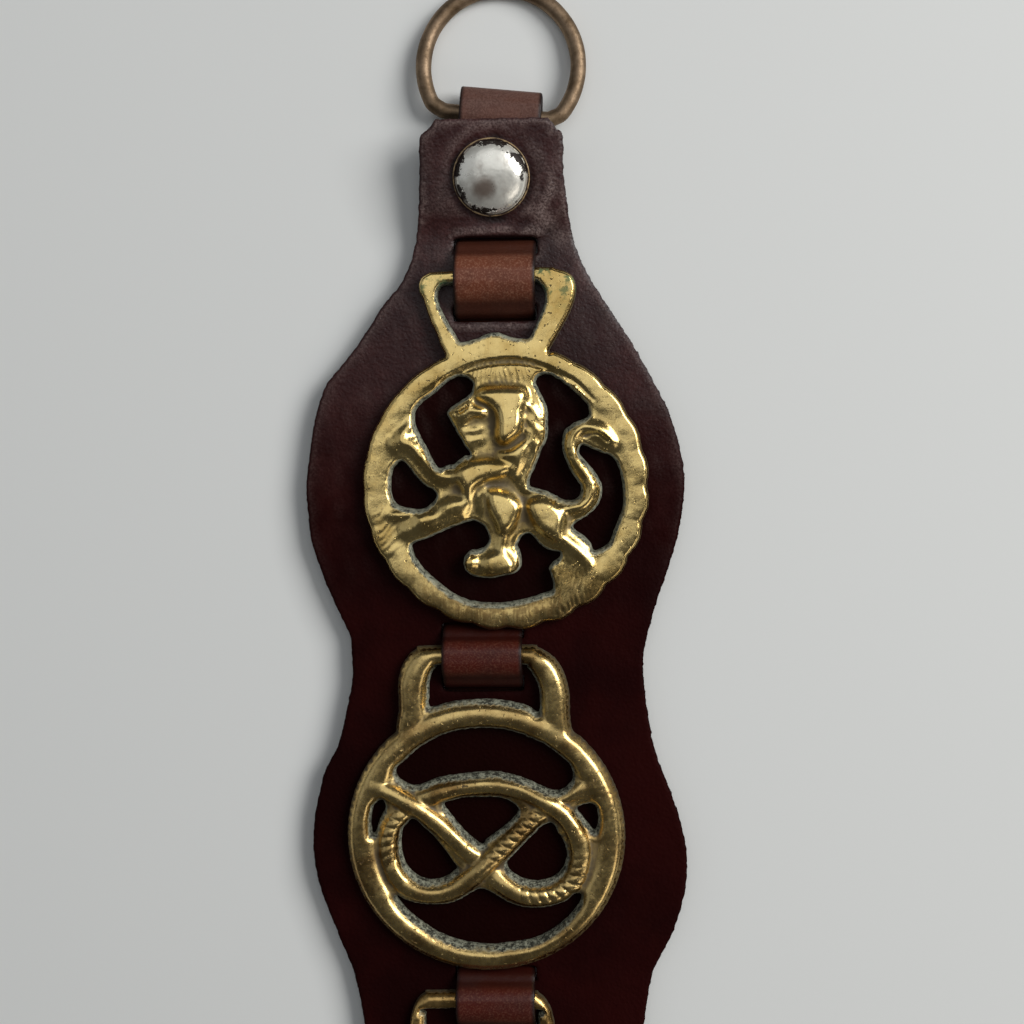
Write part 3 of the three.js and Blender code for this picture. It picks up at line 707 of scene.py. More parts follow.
# ------------------------------------------------------------------ cast brasses
@dataclass
class CastBrass(Piece):
    """A sand-cast pierced plate with relief on its front."""

    INSETS: ClassVar[tuple] = (0.07, 0.2, 0.4, 0.65, 0.95)  # rows of points in from the edge
    WANDER: ClassVar[tuple] = (1.6, 0.07)  # length and reach of the edge's unevenness
    RELIEF_IN: ClassVar[float] = 0.9  # from the edge to relief at its full height

    name: str
    node: str
    slot: Slot
    at: np.ndarray
    outline: np.ndarray
    holes: tuple
    relief: list
    plate: float
    draft: float
    crust: tuple  # reach of the crust in from any edge, and more from those that face up the strap
    foot: float = 0.6
    edge_power: float = 2.3
    unevenness: float = 0.032
    softness: int = 4
    flutes: Callable | None = None
    grid: float = 0.33
    seed: int = 1

    def front(self, spots: Spots, tris: np.ndarray) -> np.ndarray:
        """Front height: the wall curves over like a squarish quarter-round, with the relief on top.

        Args:
            spots: points of the front.
            tris: triangles between them.

        Returns:
            Height of each point over the ground.
        """
        local = spots.xy - self.at
        t = 1 - np.clip(spots.depth / self.draft, 0, 1)
        shoulder = (1 - t**self.edge_power) ** (1 / self.edge_power)
        raised, carved = np.zeros(len(local)), np.zeros(len(local))
        for form in self.relief:
            if form.carved:
                carved += form.raise_on(local)
            else:
                raised = swell(raised, form.raise_on(local), 0.8)
        uneven = ripple(local, 4.2, self.seed) + ripple(local, 1.5, self.seed + 1) * 0.15
        raised = smoothed(raised, tris, self.softness)
        if self.flutes is not None:
            raised += self.flutes(local)
        body = self.plate - self.foot + uneven * self.unevenness - carved
        within = np.clip(spots.depth / self.RELIEF_IN, 0, 1)
        return BRASS_BACK + self.foot + body * shoulder + raised * within

    def marks(self, sheet: PiercedSheet, spots: Spots, top: np.ndarray, tris: np.ndarray) -> dict:
        """Distance from the edge as a share of the crust's reach, hollows, and the walls.

        The crust reaches furthest in from those edges of the holes that face up the strap, where dirt
        settles, and hardly forms on the outline, which is wiped.

        Args:
            sheet: the casting's sheet.
            spots: points of its front.
            top: their heights.
            tris: triangles between them.

        Returns:
            One array of values for each mark.
        """
        reach = self.crust[0] + self.crust[1] * np.clip(sheet.outward[:, 1], 0, 1)
        rim = spots.depth / reach[spots.edge] + 1.4 * (spots.edge < len(sheet.loops[0]))
        sunk = smoothed(top, tris, 12) * 0.7 + smoothed(top, tris, 90) * 0.5 - top * 1.2
        return {"rim": rim, "hollow": sunk, "cut": np.zeros(len(top))}

    def build(self) -> bpy.types.Object:
        """The brass, with its edge wandering a little as a sand mould leaves it.

        Returns:
            The linked object.
        """
        loops = []
        for i, points in enumerate((self.outline, *self.holes)):
            loop = spline(points, self.grid)
            wander = ripple(loop, self.WANDER[0], self.seed + 20 + i) * self.WANDER[1]
            loops.append(loop + sideways(loop) * wander[:, None] + self.at)
        sheet = PiercedSheet(loops[0], loops[1:], self.grid, self.INSETS, self.grid + 0.01)
        return sheet.build(self.name, self.front, lambda xy: np.full(len(xy), BRASS_BACK), self.marks)


def arc_points(rx: float, ry: float, start: float, end: float, steps: int) -> list:
    """Points of an oval arc between two angles in degrees.

    Args:
        rx: half width of the oval.
        ry: half height of it.
        start: first angle.
        end: last angle.
        steps: how many steps lie between.

    Returns:
        Rows of x and y.
    """
    a = np.radians(np.linspace(start, end, steps + 1))
    return np.stack([rx * np.cos(a), ry * np.sin(a)], 1).tolist()


def crest(rx: float, ry: float, half: float, height: float, roundness: float = 0.8) -> Ridge:
    """Rounded crest along an oval band.

    Args:
        rx: half width of the band's middle line.
        ry: half height of it.
        half: half width of the crest.
        height: its height.
        roundness: how full its section is.

    Returns:
        The ridge.
    """
    a = np.radians(np.arange(0, 360, 10))
    size = np.tile([half, height], (len(a), 1))
    nodes = np.column_stack([rx * np.cos(a), ry * np.sin(a), size])
    return Ridge(tuple(map(tuple, nodes)), closed=True, roundness=roundness)


def lobe_depth(angle: np.ndarray) -> np.ndarray:
    """Depth of the lion ring's notches, which are shallow at the upper left and deepest opposite."""
    return 0.5 - 0.38 * np.cos(angle - 2.1)


def scalloped_ring(start: float, end: float, radius: float) -> list:
    """Rim of shallow lobes between two angles in degrees, with eight points to a lobe.

    Args:
        start: first angle.
        end: last angle, clockwise from the first.
        radius: radius at the lobes' tips.

    Returns:
        Rows of x and y.
    """
    a = np.radians(np.linspace(start, end, round((start - end) / 360 * LION_LOBES * 8) + 1))
    lobe = np.abs(np.sin(LION_LOBES / 2 * (a - LOBE_TURN)))
    r = radius - lobe_depth(a) * (1 - lobe)
    return np.stack([r * np.cos(a), r * np.sin(a)], 1).tolist()


def lobe_flutes(local: np.ndarray) -> np.ndarray:
    """Shallow dips that run in from each notch of the lion's ring and fade over three millimetres.

    Args:
        local: points in the casting's own millimetres.

    Returns:
        Height at each point, zero or less.
    """
    radius = np.hypot(*local.T)
    angle = np.arctan2(local[:, 1], local[:, 0])
    notch = 1 - np.abs(np.sin(LION_LOBES / 2 * (angle - LOBE_TURN)))
    band = np.clip((radius - 28.2) / 3.0, 0, 1) * (radius < 33.5)
    return -0.3 * notch**1.5 * band * lobe_depth(angle)


# ------------------------------------------------------------------ the three castings
LION_HANGER = (
    (-14.1, 31.8), (-15, 34.4), (-16.4, 37.5), (-17.6, 41.4), (-18.7, 44.2), (-18.2, 46.5), (-16.5, 47.7),
    (-13, 48.1), (8, 48.7), (12, 48.2), (15, 47), (16.1, 44.8), (16, 42.2), (14.9, 38.9), (12.7, 34.8),
)
LION_HOLES = (
    # under the hanger's bar
    ((-9.6, 32.5), (-7.4, 32.8), (-5.3, 33.4), (-3.6, 34.2), (-1.4, 34.5), (0.3, 33.9), (2.7, 33.2),
     (5.6, 33.2), (6.8, 35.3), (8.1, 38), (9.1, 40.4), (9.2, 43), (7.8, 45.1), (5, 45.6), (-11.6, 45.1),
     (-14, 44.2), (-14.5, 42.2), (-13.7, 39.6), (-12.1, 36.5), (-10.6, 34)),
    # between ring, muzzle and raised foreleg
    ((-19.9, 17.3), (-18.2, 19.3), (-15.2, 21.5), (-13.1, 23.4), (-11.4, 24.4), (-9.7, 24.8), (-8.1, 24.4),
     (-7, 23.3), (-7.1, 22), (-7.8, 20.8), (-9.7, 19.5), (-11.5, 18.4), (-12.6, 17.4), (-12.8, 16.4),
     (-12.2, 15.2), (-11.1, 13.2), (-9.3, 10), (-7.8, 7.5), (-9, 7.2), (-10.3, 6.3), (-11.4, 5.4),
     (-13, 5.1), (-14.4, 4.5), (-15.4, 5), (-16.6, 7), (-17.8, 9.6), (-19, 11.8), (-20, 14.4)),
    # between the two forelegs
    ((-24.2, 5.6), (-23.2, 6.2), (-22.2, 5.6), (-21, 4.1), (-19.5, 2.1), (-17.8, 0.6), (-16.2, -0.4),
     (-15.4, -1.5), (-16.2, -2.9), (-17.9, -4.3), (-19.8, -4.7), (-21.6, -4.4), (-23.4, -4.1), (-24.9, -3),
     (-25.6, -1.2), (-25.7, 1.6), (-25.3, 4)),
    # below the forelegs and around the standing foot
    ((-20.9, -12.4), (-17.9, -11.3), (-14.8, -10), (-12.5, -9), (-10.4, -8.2), (-8.1, -7.5), (-6.8, -7.4),
     (-5.1, -8.4), (-4.2, -9.7), (-3.8, -11.2), (-4.1, -12.3), (-5, -13.3), (-6.5, -13.8), (-8, -14),
     (-9.1, -15), (-9.6, -16.3), (-9.5, -17.6), (-8.9, -18.8), (-7.6, -19.7), (-5.6, -20.2), (-3.4, -20.3),
     (-1.4, -19.9), (0.3, -19.6), (1.8, -19.2), (2.9, -18.4), (3.4, -17), (3.3, -15.6), (3, -14.2),
     (2.5, -13), (3, -11.8), (3.8, -10.8), (5, -10.3), (6.2, -11.1), (7.4, -12.6), (9, -13.8), (10.6, -14.3),
     (12, -14.6), (11.8, -15.8), (10.2, -17), (9.5, -18.2), (10, -20), (10.4, -22), (10, -23.2), (7.6, -24),
     (4.4, -25), (0, -25.8), (-4, -25.9), (-7.6, -25.5), (-10.6, -24.5), (-13, -23.1), (-15.3, -21.2),
     (-17.9, -18.9), (-20, -16.3), (-21, -14.3)),
    # between mane, ring and tail
    ((7, 23.5), (8, 24.8), (9.8, 25.1), (11.5, 24.3), (13.4, 23), (15.4, 21.3), (17.3, 19.5), (18.5, 18),
     (18.7, 15.9), (17.6, 15.1), (15.9, 14.5), (14.4, 13.6), (13.3, 12.7), (12.9, 11.2), (12.7, 9.2),
     (13, 7.4), (13.6, 5.8), (14.7, 3.2), (16, 1.4), (16.8, 0), (16.7, -1.5), (15.6, -2.7), (14, -3),
     (12.6, -2.7), (11.3, -2), (9.6, -1.1), (7.6, -0.4), (5.6, 0.2), (5.4, 1.8), (6.3, 3.8), (7.3, 6.1),
     (8.1, 8.3), (9.2, 10.3), (9.6, 12), (9.6, 14.2), (9.6, 16.4), (9.3, 18.2), (8.6, 19.8), (7.7, 21.7)),
    # between tail, ring and rump
    ((17.1, 9.3), (18.4, 8.9), (20, 8.2), (22, 7.4), (23.7, 6.7), (24.8, 5.1), (25.6, 3), (26, 0.6),
     (26.2, -2), (25.9, -5.2), (24.9, -7.8), (23.9, -10.3), (23.1, -12.4), (21.7, -13.5), (20.3, -14.2),
     (19.4, -14), (18.8, -12.6), (17.5, -11.1), (16, -10.1), (15, -9), (15.6, -8), (17, -7.2), (19, -5.8),
     (20.6, -4), (21.5, -1.8), (21.4, 0.6), (20.4, 2.6), (18.9, 4.6), (17.3, 6.4), (16.5, 7.8)),
)
# Raised and carved forms of the lion and its ground, in millimetres from the middle of its ring.
LION_FORMS = [
    # groove inside the ring's top, neck block, crown and cheek
    Ridge(((-17.5, 21.4, 0.6, 0.1), (-10.8, 25.2, 0.8, 0.4), (-5, 27.3, 0.9, 0.5), (2, 28, 0.9, 0.6),
           (8.2, 26.8, 0.8, 0.5), (15.4, 23.4, 0.7, 0.4), (19.6, 19.4, 0.6, 0.1)), carved=True),
    Facet(((-6.4, 26.6), (6.2, 26.8), (7.2, 21.6), (0, 22.6), (-6.8, 21.6)), 0.3, 1.6, (0.0, 0.04)),
    Facet(((-6.5, 20.4), (-5.6, 21.8), (-3.8, 22.6), (0, 22.8), (4.2, 22.4), (5.7, 21), (5.3, 18.6),
           (4.7, 16), (4.6, 13.6), (3.9, 11.8), (2.2, 10.3), (0.4, 9.3), (-1.2, 9.8), (-2, 11.6),
           (-1.9, 14.2), (-2.2, 16.4), (-3.4, 18), (-5.2, 19.1)), 2.8, 1.7, (-0.05, -0.06)),
    # muzzle, its nostril, and lips in the hollow under it
    Facet(((-11.9, 16.9), (-10.7, 18.1), (-8, 20.2), (-6.8, 19.6), (-6.5, 18.7), (-4.5, 18), (-3.1, 16.6),
           (-4.8, 15.7), (-6.7, 15.6), (-7.9, 14.6), (-9.3, 14), (-10.2, 14.3), (-11.1, 15.6)), 1.7, 0.9,
           (0.05, 0.03)),
    Ridge(((-10.6, 16.6, 0.45, 0.5), (-9.2, 17.2, 0.5, 0.7), (-8.0, 18.2, 0.4, 0.5)), carved=True),
    Ridge(((-9.8, 13.6, 0.8, 0.9), (-8.6, 11.2, 0.8, 0.8), (-7.4, 8.6, 0.8, 0.8))),
    Ridge(((-8.6, 13, 0.7, 0.9), (-6.8, 12.7, 0.8, 1.0), (-5.2, 13.3, 0.7, 0.8))),
    Ridge(((-8, 10.9, 0.6, 0.8), (-6.4, 10.6, 0.7, 0.9), (-5, 11.1, 0.6, 0.7))),
    # locks behind the cheek, and the outer band of the mane
    Ridge(((5.2, 18.6, 1.0, 1.5), (6.4, 17.2, 1.1, 1.7), (7.4, 15.2, 0.9, 1.3))),
    Ridge(((5.0, 15.8, 1.0, 1.5), (6.2, 14.2, 1.1, 1.7), (7.2, 12.2, 0.9, 1.3))),
    Ridge(((5.0, 12.8, 1.0, 1.5), (6.0, 11.2, 1.0, 1.5), (6.6, 9.2, 0.9, 1.2))),
    Ridge(((7.4, 21.4, 1.8, 0.4), (7.8, 17, 2.2, 0.6), (7.4, 12, 2.2, 0.7), (6, 7, 2.2, 0.7),
           (4.4, 3, 2.2, 0.6)), roundness=1.0),
    # throat and chest
    Facet(((-1.2, 8.2), (1.1, 8.9), (4.5, 10.9), (5.9, 10.6), (5.4, 8.3), (4.5, 5.6), (2.9, 2.6), (0.9, 2.0),
           (1.1, 3.7), (1.8, 5.2), (0, 6.2), (-1.7, 7.1)), 1.9, 1.3, (-0.05, 0.0)),
    # shoulder, folds of the chest
    Facet(((-11.6, 3.4), (-10.1, 5.3), (-7.9, 6.3), (-4.5, 6.9), (-1.1, 6.6), (1.8, 5.8), (2.8, 4.9),
           (1.2, 3.4), (-0.4, 2.1), (-2.8, 1.6), (-5.1, 0.7), (-7, -0.9), (-8.4, -2.9), (-9.4, -1.3),
           (-10.3, 0.7), (-11.3, 2.2)), 2.2, 1.7, (-0.02, -0.06)),
    Ridge(((-7, -0.6, 0.9, 1.2), (-8.2, -2.8, 0.9, 1.3), (-8.8, -4.6, 0.8, 1.0))),
    Ridge(((-4.6, 0.2, 0.9, 1.2), (-5.8, -2.4, 0.9, 1.3), (-5.4, -5, 0.7, 1.0))),
    # raised foreleg and its paw
    Ridge(((-11.2, 2.4, 1.6, 1.0), (-14.4, 2.8, 1.4, 1.2), (-17, 5.4, 1.3, 1.3), (-19.6, 8.6, 1.4, 1.4),
           (-21.6, 10.6, 1.5, 1.4))),
    Ridge(((-15, 1.8, 0.6, 1.2), (-16.4, 4.0, 0.6, 1.5), (-19.2, 7.6, 0.6, 1.6))),
    Ridge(((-22.2, 9.4, 1.1, 1.4), (-23.2, 11.2, 1.1, 1.6), (-22.2, 12.8, 1.0, 1.4))),
    Ridge(((-21.6, 13.2, 0.8, 1.2), (-20.8, 14.6, 0.8, 1.0))),
    Ridge(((-24.2, 8.8, 0.9, 1.2), (-25, 10.8, 0.9, 1.1))),
    # lower foreleg, running out to the ring
    Ridge(((-9.0, -3.4, 2.0, 1.5), (-11.8, -4.0, 2.4, 1.9), (-14.6, -5.4, 2.1, 1.5))),
    Ridge(((-9.8, -5.2, 2.0, 1.2), (-13.4, -6.2, 2.2, 1.4), (-17.4, -7.6, 2.3, 1.4), (-21.6, -9, 2.2, 1.1))),
    Facet(((-20.4, -6.2), (-17.4, -4.9), (-14.6, -5.6), (-15.6, -8.4), (-19.4, -9)), 1.7, 1.0,
           (-0.04, 0.05)),
    Ridge(((-21.2, -5.6, 0.9, 1.0), (-24, -5.9, 1.0, 1.2), (-26, -5.6, 0.8, 0.8))),
    # front thigh and shin
    Facet(((-4.2, -0.7), (-2.5, 0.1), (0.3, -0.5), (2.2, -1.6), (3.7, -3.3), (3.8, -5.4), (2.7, -7.9),
           (1.8, -9.6), (0, -10.4), (-1.7, -9.9), (-2.4, -7.8), (-3.6, -5.5), (-4.2, -3.2)), 2.2, 1.6,
           (-0.05, -0.05)),
    Ridge(((0, -9.4, 1.5, 1.5), (-0.8, -12.2, 1.3, 1.4), (-0.6, -14.6, 1.4, 1.3))),
    # standing foot and its round toe
    Facet(((-5.4, -15.4), (-4, -14.3), (-2.6, -13.8), (-1, -13.5), (0.8, -14.4), (2.3, -16.4), (2.5, -18),
           (1.2, -19.4), (-1.7, -19.9), (-5.2, -19.4), (-5.7, -17.6)), 1.8, 1.5, (0.0, -0.03)),
    Ridge(((-8.0, -16.7, 2.2, 1.9), (-7.9, -16.6, 2.2, 1.9)), roundness=0.6),
    # belly, haunch and hind leg
    Ridge(((3.2, 2.2, 1.6, 0.7), (5.2, 0.0, 1.8, 0.8), (8.6, -1.2, 1.4, 0.7))),
    Facet(((4.7, -3.2), (6.6, -1.8), (9.6, -2.1), (12.3, -4), (13.7, -6.6), (13.2, -9.4), (13.2, -11.8),
           (11.8, -12.5), (9.6, -11.4), (7.2, -9.6), (5.4, -7), (4.7, -4.9)), 2.4, 1.7, (-0.05, -0.04)),
    Ridge(((12.6, -11.2, 1.7, 1.7), (15.2, -13.4, 1.7, 1.5), (17.4, -15.6, 1.5, 1.2),
           (18.7, -17.4, 1.2, 0.7))),
    Ridge(((11.4, -12.8, 0.9, 0.9), (13.8, -15.2, 0.9, 0.8), (16.4, -17, 0.9, 0.5))),
    # cut ground under the hind foot
    Facet(((9.6, -18.2), (13.2, -15), (18, -17), (21, -18.6), (19.4, -22.4), (15.6, -26.4), (10.6, -28),
           (10.4, -22.6)), 0.45, 1.0),
    # tail and its tuft
    Ridge(((12.6, -4.8, 1.3, 1.3), (15.2, -4.6, 1.5, 1.6), (17.8, -3.6, 1.5, 1.6), (19.2, -1, 1.5, 1.6),
           (18.6, 1.8, 1.5, 1.6), (16.6, 4.6, 1.4, 1.6), (15.1, 7.6, 1.4, 1.5), (14.8, 10.4, 1.4, 1.5),
           (16.4, 12.8, 1.4, 1.5)), roundness=0.6),
    Ridge(((16, 12.8, 1.5, 1.2), (18.6, 13.4, 1.7, 1.6), (21.6, 12.2, 1.8, 1.6), (24, 9.8, 1.3, 1.1))),
    Ridge(((17.8, 11.4, 0.6, 0.3), (20.4, 11.9, 0.6, 0.5), (22.8, 10.2, 0.6, 0.4)), carved=True),
    Hatching(((-6.2, 28), (5.8, 28.2), (6.8, 23), (-6.6, 22.6)), 1.1, 0.11, 96.0),
    Hatching(((9.8, -17.6), (13.4, -14.6), (20.6, -17.8), (19.6, -23), (15.6, -27), (9.8, -28.6)), 0.9, 0.15,
              82.0),
    Hatching(((-30, -6), (-24, -3), (-21, -10), (-25.6, -16), (-28.6, -12)), 1.5, 0.035, 40.0),
]

KNOT_HANGER = (
    (-19.9, 26.3), (-19.4, 29.5), (-19.5, 34.6), (-18.8, 38.2), (-17.4, 40.8), (-15.2, 42.8), (-12.6, 43.5),
    (9.6, 43.6), (12.3, 43), (15, 41.5), (17.1, 39.2), (18.5, 36.2), (19.3, 32.4), (19.4, 28),
)
KNOT_HOLES = (
    # under the hanger's bar
    ((-12.3, 29.6), (-9, 30.3), (-5.8, 30.9), (0.7, 31.3), (5.4, 30.8), (9.6, 29.8), (12.3, 28.4),
     (12.6, 32.3), (12.1, 34.8), (11, 37), (9.8, 38.5), (8, 39.2), (-8.6, 39.2), (-10.8, 38.5),
     (-12.1, 36.2), (-12.4, 33)),
    # between the ring and the knot's upper arc
    ((-20.2, 15.5), (-18, 17.5), (-15.2, 20), (-12.3, 21.8), (-9.2, 23.3), (-6.1, 24.2), (-2, 24.7),
     (1.2, 24.7), (4.5, 24.4), (7.9, 23.5), (11, 22.2), (13.6, 21), (16.8, 18.6), (19, 16.6), (19.8, 14.9),
     (19.8, 13), (18.9, 11.7), (17.4, 10.6), (15.8, 10.3), (14.2, 10.7), (12.4, 11.5), (10.3, 12.5),
     (8, 13.4), (4.7, 14.3), (1.4, 14.7), (-3.1, 14.4), (-6.4, 14), (-9.7, 13.5), (-11.9, 12.8),
     (-14.1, 11.9), (-15.6, 11.5), (-17.1, 11.7), (-18.6, 12.5), (-19.9, 13.6)),
    # under the arc, over the crossing
    ((-9.4, 7.2), (-7.4, 8.1), (-4.8, 8.8), (0.2, 8.9), (3.6, 8.7), (5.9, 7.8), (7.4, 6.3), (6.9, 4.7),
     (4.7, 2.6), (2.5, 0.8), (0.3, -0.8), (-0.8, -2), (-2.3, -1.2), (-3.9, 0.1), (-5.4, 1.7), (-7.2, 3.9)),
    # left loop
    ((-16.3, 3.9), (-18.1, 2.6), (-19.1, 0.9), (-19.3, -2), (-19, -4.9), (-18.1, -7), (-16.9, -8.5),
     (-15, -9.8), (-12.8, -10.3), (-10.3, -10), (-8.3, -9), (-6.7, -7.4), (-7.7, -5.7), (-9.1, -3.7),
     (-10.6, -1.6), (-12.4, 0.4), (-14.4, 2.2)),
    # right loop
    ((14.7, 3), (12.6, 2.1), (11, 0.5), (9.3, -1.2), (7.4, -3.2), (5.8, -4.9), (4.7, -6.3), (5.1, -7.7),
     (6.6, -9.1), (9, -10.2), (11.7, -10.5), (14.5, -9.9), (16.7, -8.4), (17.9, -6.3), (18.3, -4),
     (17.7, -1.4), (16.5, 0.6), (15.7, 2.2)),
    # slivers beside the loops
    ((-23.5, 8.3), (-25.3, 7.2), (-26, 4.9), (-26.2, 2.6), (-25.8, 0.6), (-25, 1.2), (-24.1, 3.9),
     (-22.8, 6.6)),
    ((20.7, 6.4), (22.6, 7.3), (24.6, 7.2), (25.4, 5.2), (25.4, 3), (24.7, 1.3), (23.2, 2.8), (21.6, 4.9)),
    # crescent under the knot
    ((-20.6, -13.9), (-18.2, -15), (-15, -15.8), (-11.3, -15.9), (-8.4, -15.6), (-5.8, -14.6), (-3.2, -13),
     (-1.2, -12.2), (1, -13), (4.1, -14.9), (6.6, -16), (9.4, -16.6), (13, -16.5), (16, -15.8),
     (18.2, -14.9), (20, -13.4), (21.4, -13.4), (21.2, -15.2), (19.5, -17.7), (17, -20.2), (13.6, -22.5),
     (9.9, -24.1), (4.4, -25), (0, -25.3), (-5.6, -24.6), (-11.1, -22.6), (-15.6, -19.6), (-18.6, -17)),
)
KNOT_HANGER_CREST = (
    (-17.6, 22, 2.4, 0.5), (-16.4, 29, 3.0, 0.9), (-16, 35, 3.0, 1.0), (-13, 40.4, 2.6, 0.9),
    (-8, 41.4, 2.1, 0.5), (8, 41.4, 2.1, 0.5), (12.4, 40.2, 2.6, 0.9), (15.4, 35, 3.0, 1.0),
    (16, 29, 3.0, 0.9), (17, 22, 2.4, 0.5),
)
# Rope of the knot in three runs of (x, y, half-width, height, depth of twist); tall stretches pass over.
KNOT_RUNS = (
    ((-25.6, 11.6, 2, 0.7, 0), (-20.8, 9.8, 2.1, 1.4, 0), (-16.3, 7.3, 2.1, 1.9, 0), (-12, 4, 2.1, 1.5, 0),
     (-8, 0.5, 2.1, 1.2, 0), (-4, -3.4, 2, 0.9, 0), (-0.6, -6.8, 2, 0.5, 0), (3.6, -10.6, 2.2, 1.1, 0),
     (8, -13.1, 2.3, 1.4, 0.5), (12, -13.5, 2.3, 1.4, 1), (16.2, -12.8, 2.3, 1.4, 1),
     (19.6, -10.2, 2.3, 1.3, 1), (21.2, -6.2, 2.3, 1.3, 0.6), (21.4, -2, 2.3, 1.3, 0), (20, 2, 2.2, 1.3, 0)),
    ((20.4, 1, 2, 1.2, 0), (18.4, 4.4, 2.2, 1.5, 0), (14.2, 7.9, 2.2, 1.9, 0), (9, 10.6, 2.2, 1.4, 0),
     (4, 11.8, 2.2, 1.3, 0), (-1, 12, 2.2, 1.3, 0), (-6, 11.2, 2.2, 1.2, 0), (-11, 9.8, 2.1, 1.0, 0),
     (-15.6, 7.5, 2, 0.5, 0), (-19.4, 4.4, 2.2, 1.1, 0.8), (-21.6, 0.6, 2.2, 1.3, 1), (-22, -4, 2.2, 1.3, 1),
     (-20.4, -8.8, 2.2, 1.3, 0.2)),
    ((-20.8, -7.8, 2, 1.2, 0), (-18.4, -11, 2.3, 1.3, 0), (-14, -12.9, 2.3, 1.4, 0),
     (-9.4, -12.6, 2.3, 1.4, 0), (-5, -10.6, 2.3, 1.6, 0), (-0.6, -6.8, 2.2, 1.9, 0),
     (3.6, -2.8, 2.2, 1.5, 1), (7.2, 0.6, 2.1, 1.2, 1), (10.8, 4, 2, 0.9, 1), (14.4, 7.6, 1.9, 0.5, 0),
     (18.6, 9.9, 1.9, 0.8, 0), (23.6, 11.6, 1.9, 0.7, 0)),
)

WHEEL_HANGER = (
    (-16.6, 29), (-16.6, 35), (-16, 38.2), (-14.8, 40.8), (-13, 42.4), (-10.6, 42.9), (10.6, 42.9),
    (13, 42.4), (14.8, 40.8), (16, 38.2), (16.6, 35), (16.6, 29),
)
WHEEL_SLOT = (
    (-12.2, 29), (-6, 30.6), (0, 31.2), (6, 30.6), (12.2, 29), (12.8, 33), (12.8, 37.4), (12, 38.8),
    (-12, 38.8), (-12.8, 37.4), (-12.8, 33),
)
WHEEL_RADIUS, WHEEL_BAND, WHEEL_HUB, WHEEL_SPOKE, WHEEL_SPOKES = 30.6, 5.8, 7.4, 4.8, 6


def wheel_window(index: int) -> list:
    """Outline of one window between two straight spokes, the hub and the band.

    Args:
        index: which window, anticlockwise from the top.

    Returns:
        Rows of x and y.
    """
    step = 2 * math.pi / WHEEL_SPOKES
    start = math.pi / 2 + index * step

    def rim(r: float, steps: int) -> np.ndarray:
        """Arc at one radius, kept clear of the spokes' sides.

        Args:
            r: the radius.
            steps: how many steps the arc has.

        Returns:
            Rows of x and y.
        """
        clear = math.asin(WHEEL_SPOKE / 2 / r)
        a = np.linspace(start + clear, start + step - clear, steps + 1)
        return np.stack([r * np.cos(a), r * np.sin(a)], 1)

    outer, inner = rim(WHEEL_RADIUS - WHEEL_BAND, 9), rim(WHEEL_HUB + 1, 3)[::-1]
    sides = [np.linspace(outer[-1], inner[0], 8)[1:-1], np.linspace(inner[-1], outer[0], 8)[1:-1]]
    return np.vstack([outer, sides[0], inner, sides[1]]).tolist()


def lion_brass() -> CastBrass:
    """Rampant lion in a scalloped ring under a flared hanger.

    Returns:
        The casting.
    """
    outline = scalloped_ring(71.5, -246, 32.1) + list(LION_HANGER)
    forms = [crest(29.8, 29.8, 3.2, 0.35, 0.7), *LION_FORMS]
    return CastBrass("Lion_brass", "lion_brass", Slot.LION, LION_AT, outline, LION_HOLES, forms,
                     LION_PLATE, 1.0, crust=(0.65, 0.5), softness=15, flutes=lobe_flutes, seed=3)


def knot_brass() -> CastBrass:
    """Stafford knot of rope in a plain rounded ring.

    Returns:
        The casting.
    """
    outline = arc_points(31.6, 31.1, 51, -230, 60) + list(KNOT_HANGER)
    rope = [Ridge(run, roundness=0.6, twist=0.45) for run in KNOT_RUNS]
    forms = [crest(28.2, 27.7, 2.7, 0.9, 0.75), Ridge(KNOT_HANGER_CREST), *rope]
    return CastBrass("Knot_brass", "knot_brass", Slot.KNOT, KNOT_AT, outline, KNOT_HOLES, forms,
                     KNOT_PLATE, 2.1, crust=(0.6, 0.6), edge_power=2.0, softness=1, seed=7)


def wheel_brass() -> CastBrass:
    """Plain wheel of six spokes and a boss.

    Returns:
        The casting.
    """
    outline = arc_points(WHEEL_RADIUS, WHEEL_RADIUS, 54, -234, 56) + list(WHEEL_HANGER)
    boss = Ridge(((-0.1, 0, WHEEL_HUB - 1.4, 2.0), (0.1, 0, WHEEL_HUB - 1.4, 2.0)), roundness=0.7)
    bead = crest(WHEEL_HUB - 0.6, WHEEL_HUB - 0.6, 1.0, 0.6)
    turns = np.pi / 2 + np.arange(WHEEL_SPOKES) * 2 * np.pi / WHEEL_SPOKES
    spokes = [
        Ridge(tuple((r * math.cos(a), r * math.sin(a), 1.7, 0.7) for r in (WHEEL_HUB, 13, 19, 25)))
        for a in turns
    ]
    forms = [crest(27.7, 27.7, 2.5, 0.9, 0.75), boss, bead, *spokes]
    windows = tuple(wheel_window(i) for i in range(WHEEL_SPOKES))
    return CastBrass("Wheel_brass", "wheel_brass", Slot.WHEEL, WHEEL_AT, outline, (WHEEL_SLOT, *windows),
                     forms, WHEEL_PLATE, 1.8, crust=(0.6, 0.6), edge_power=2.0, seed=11)


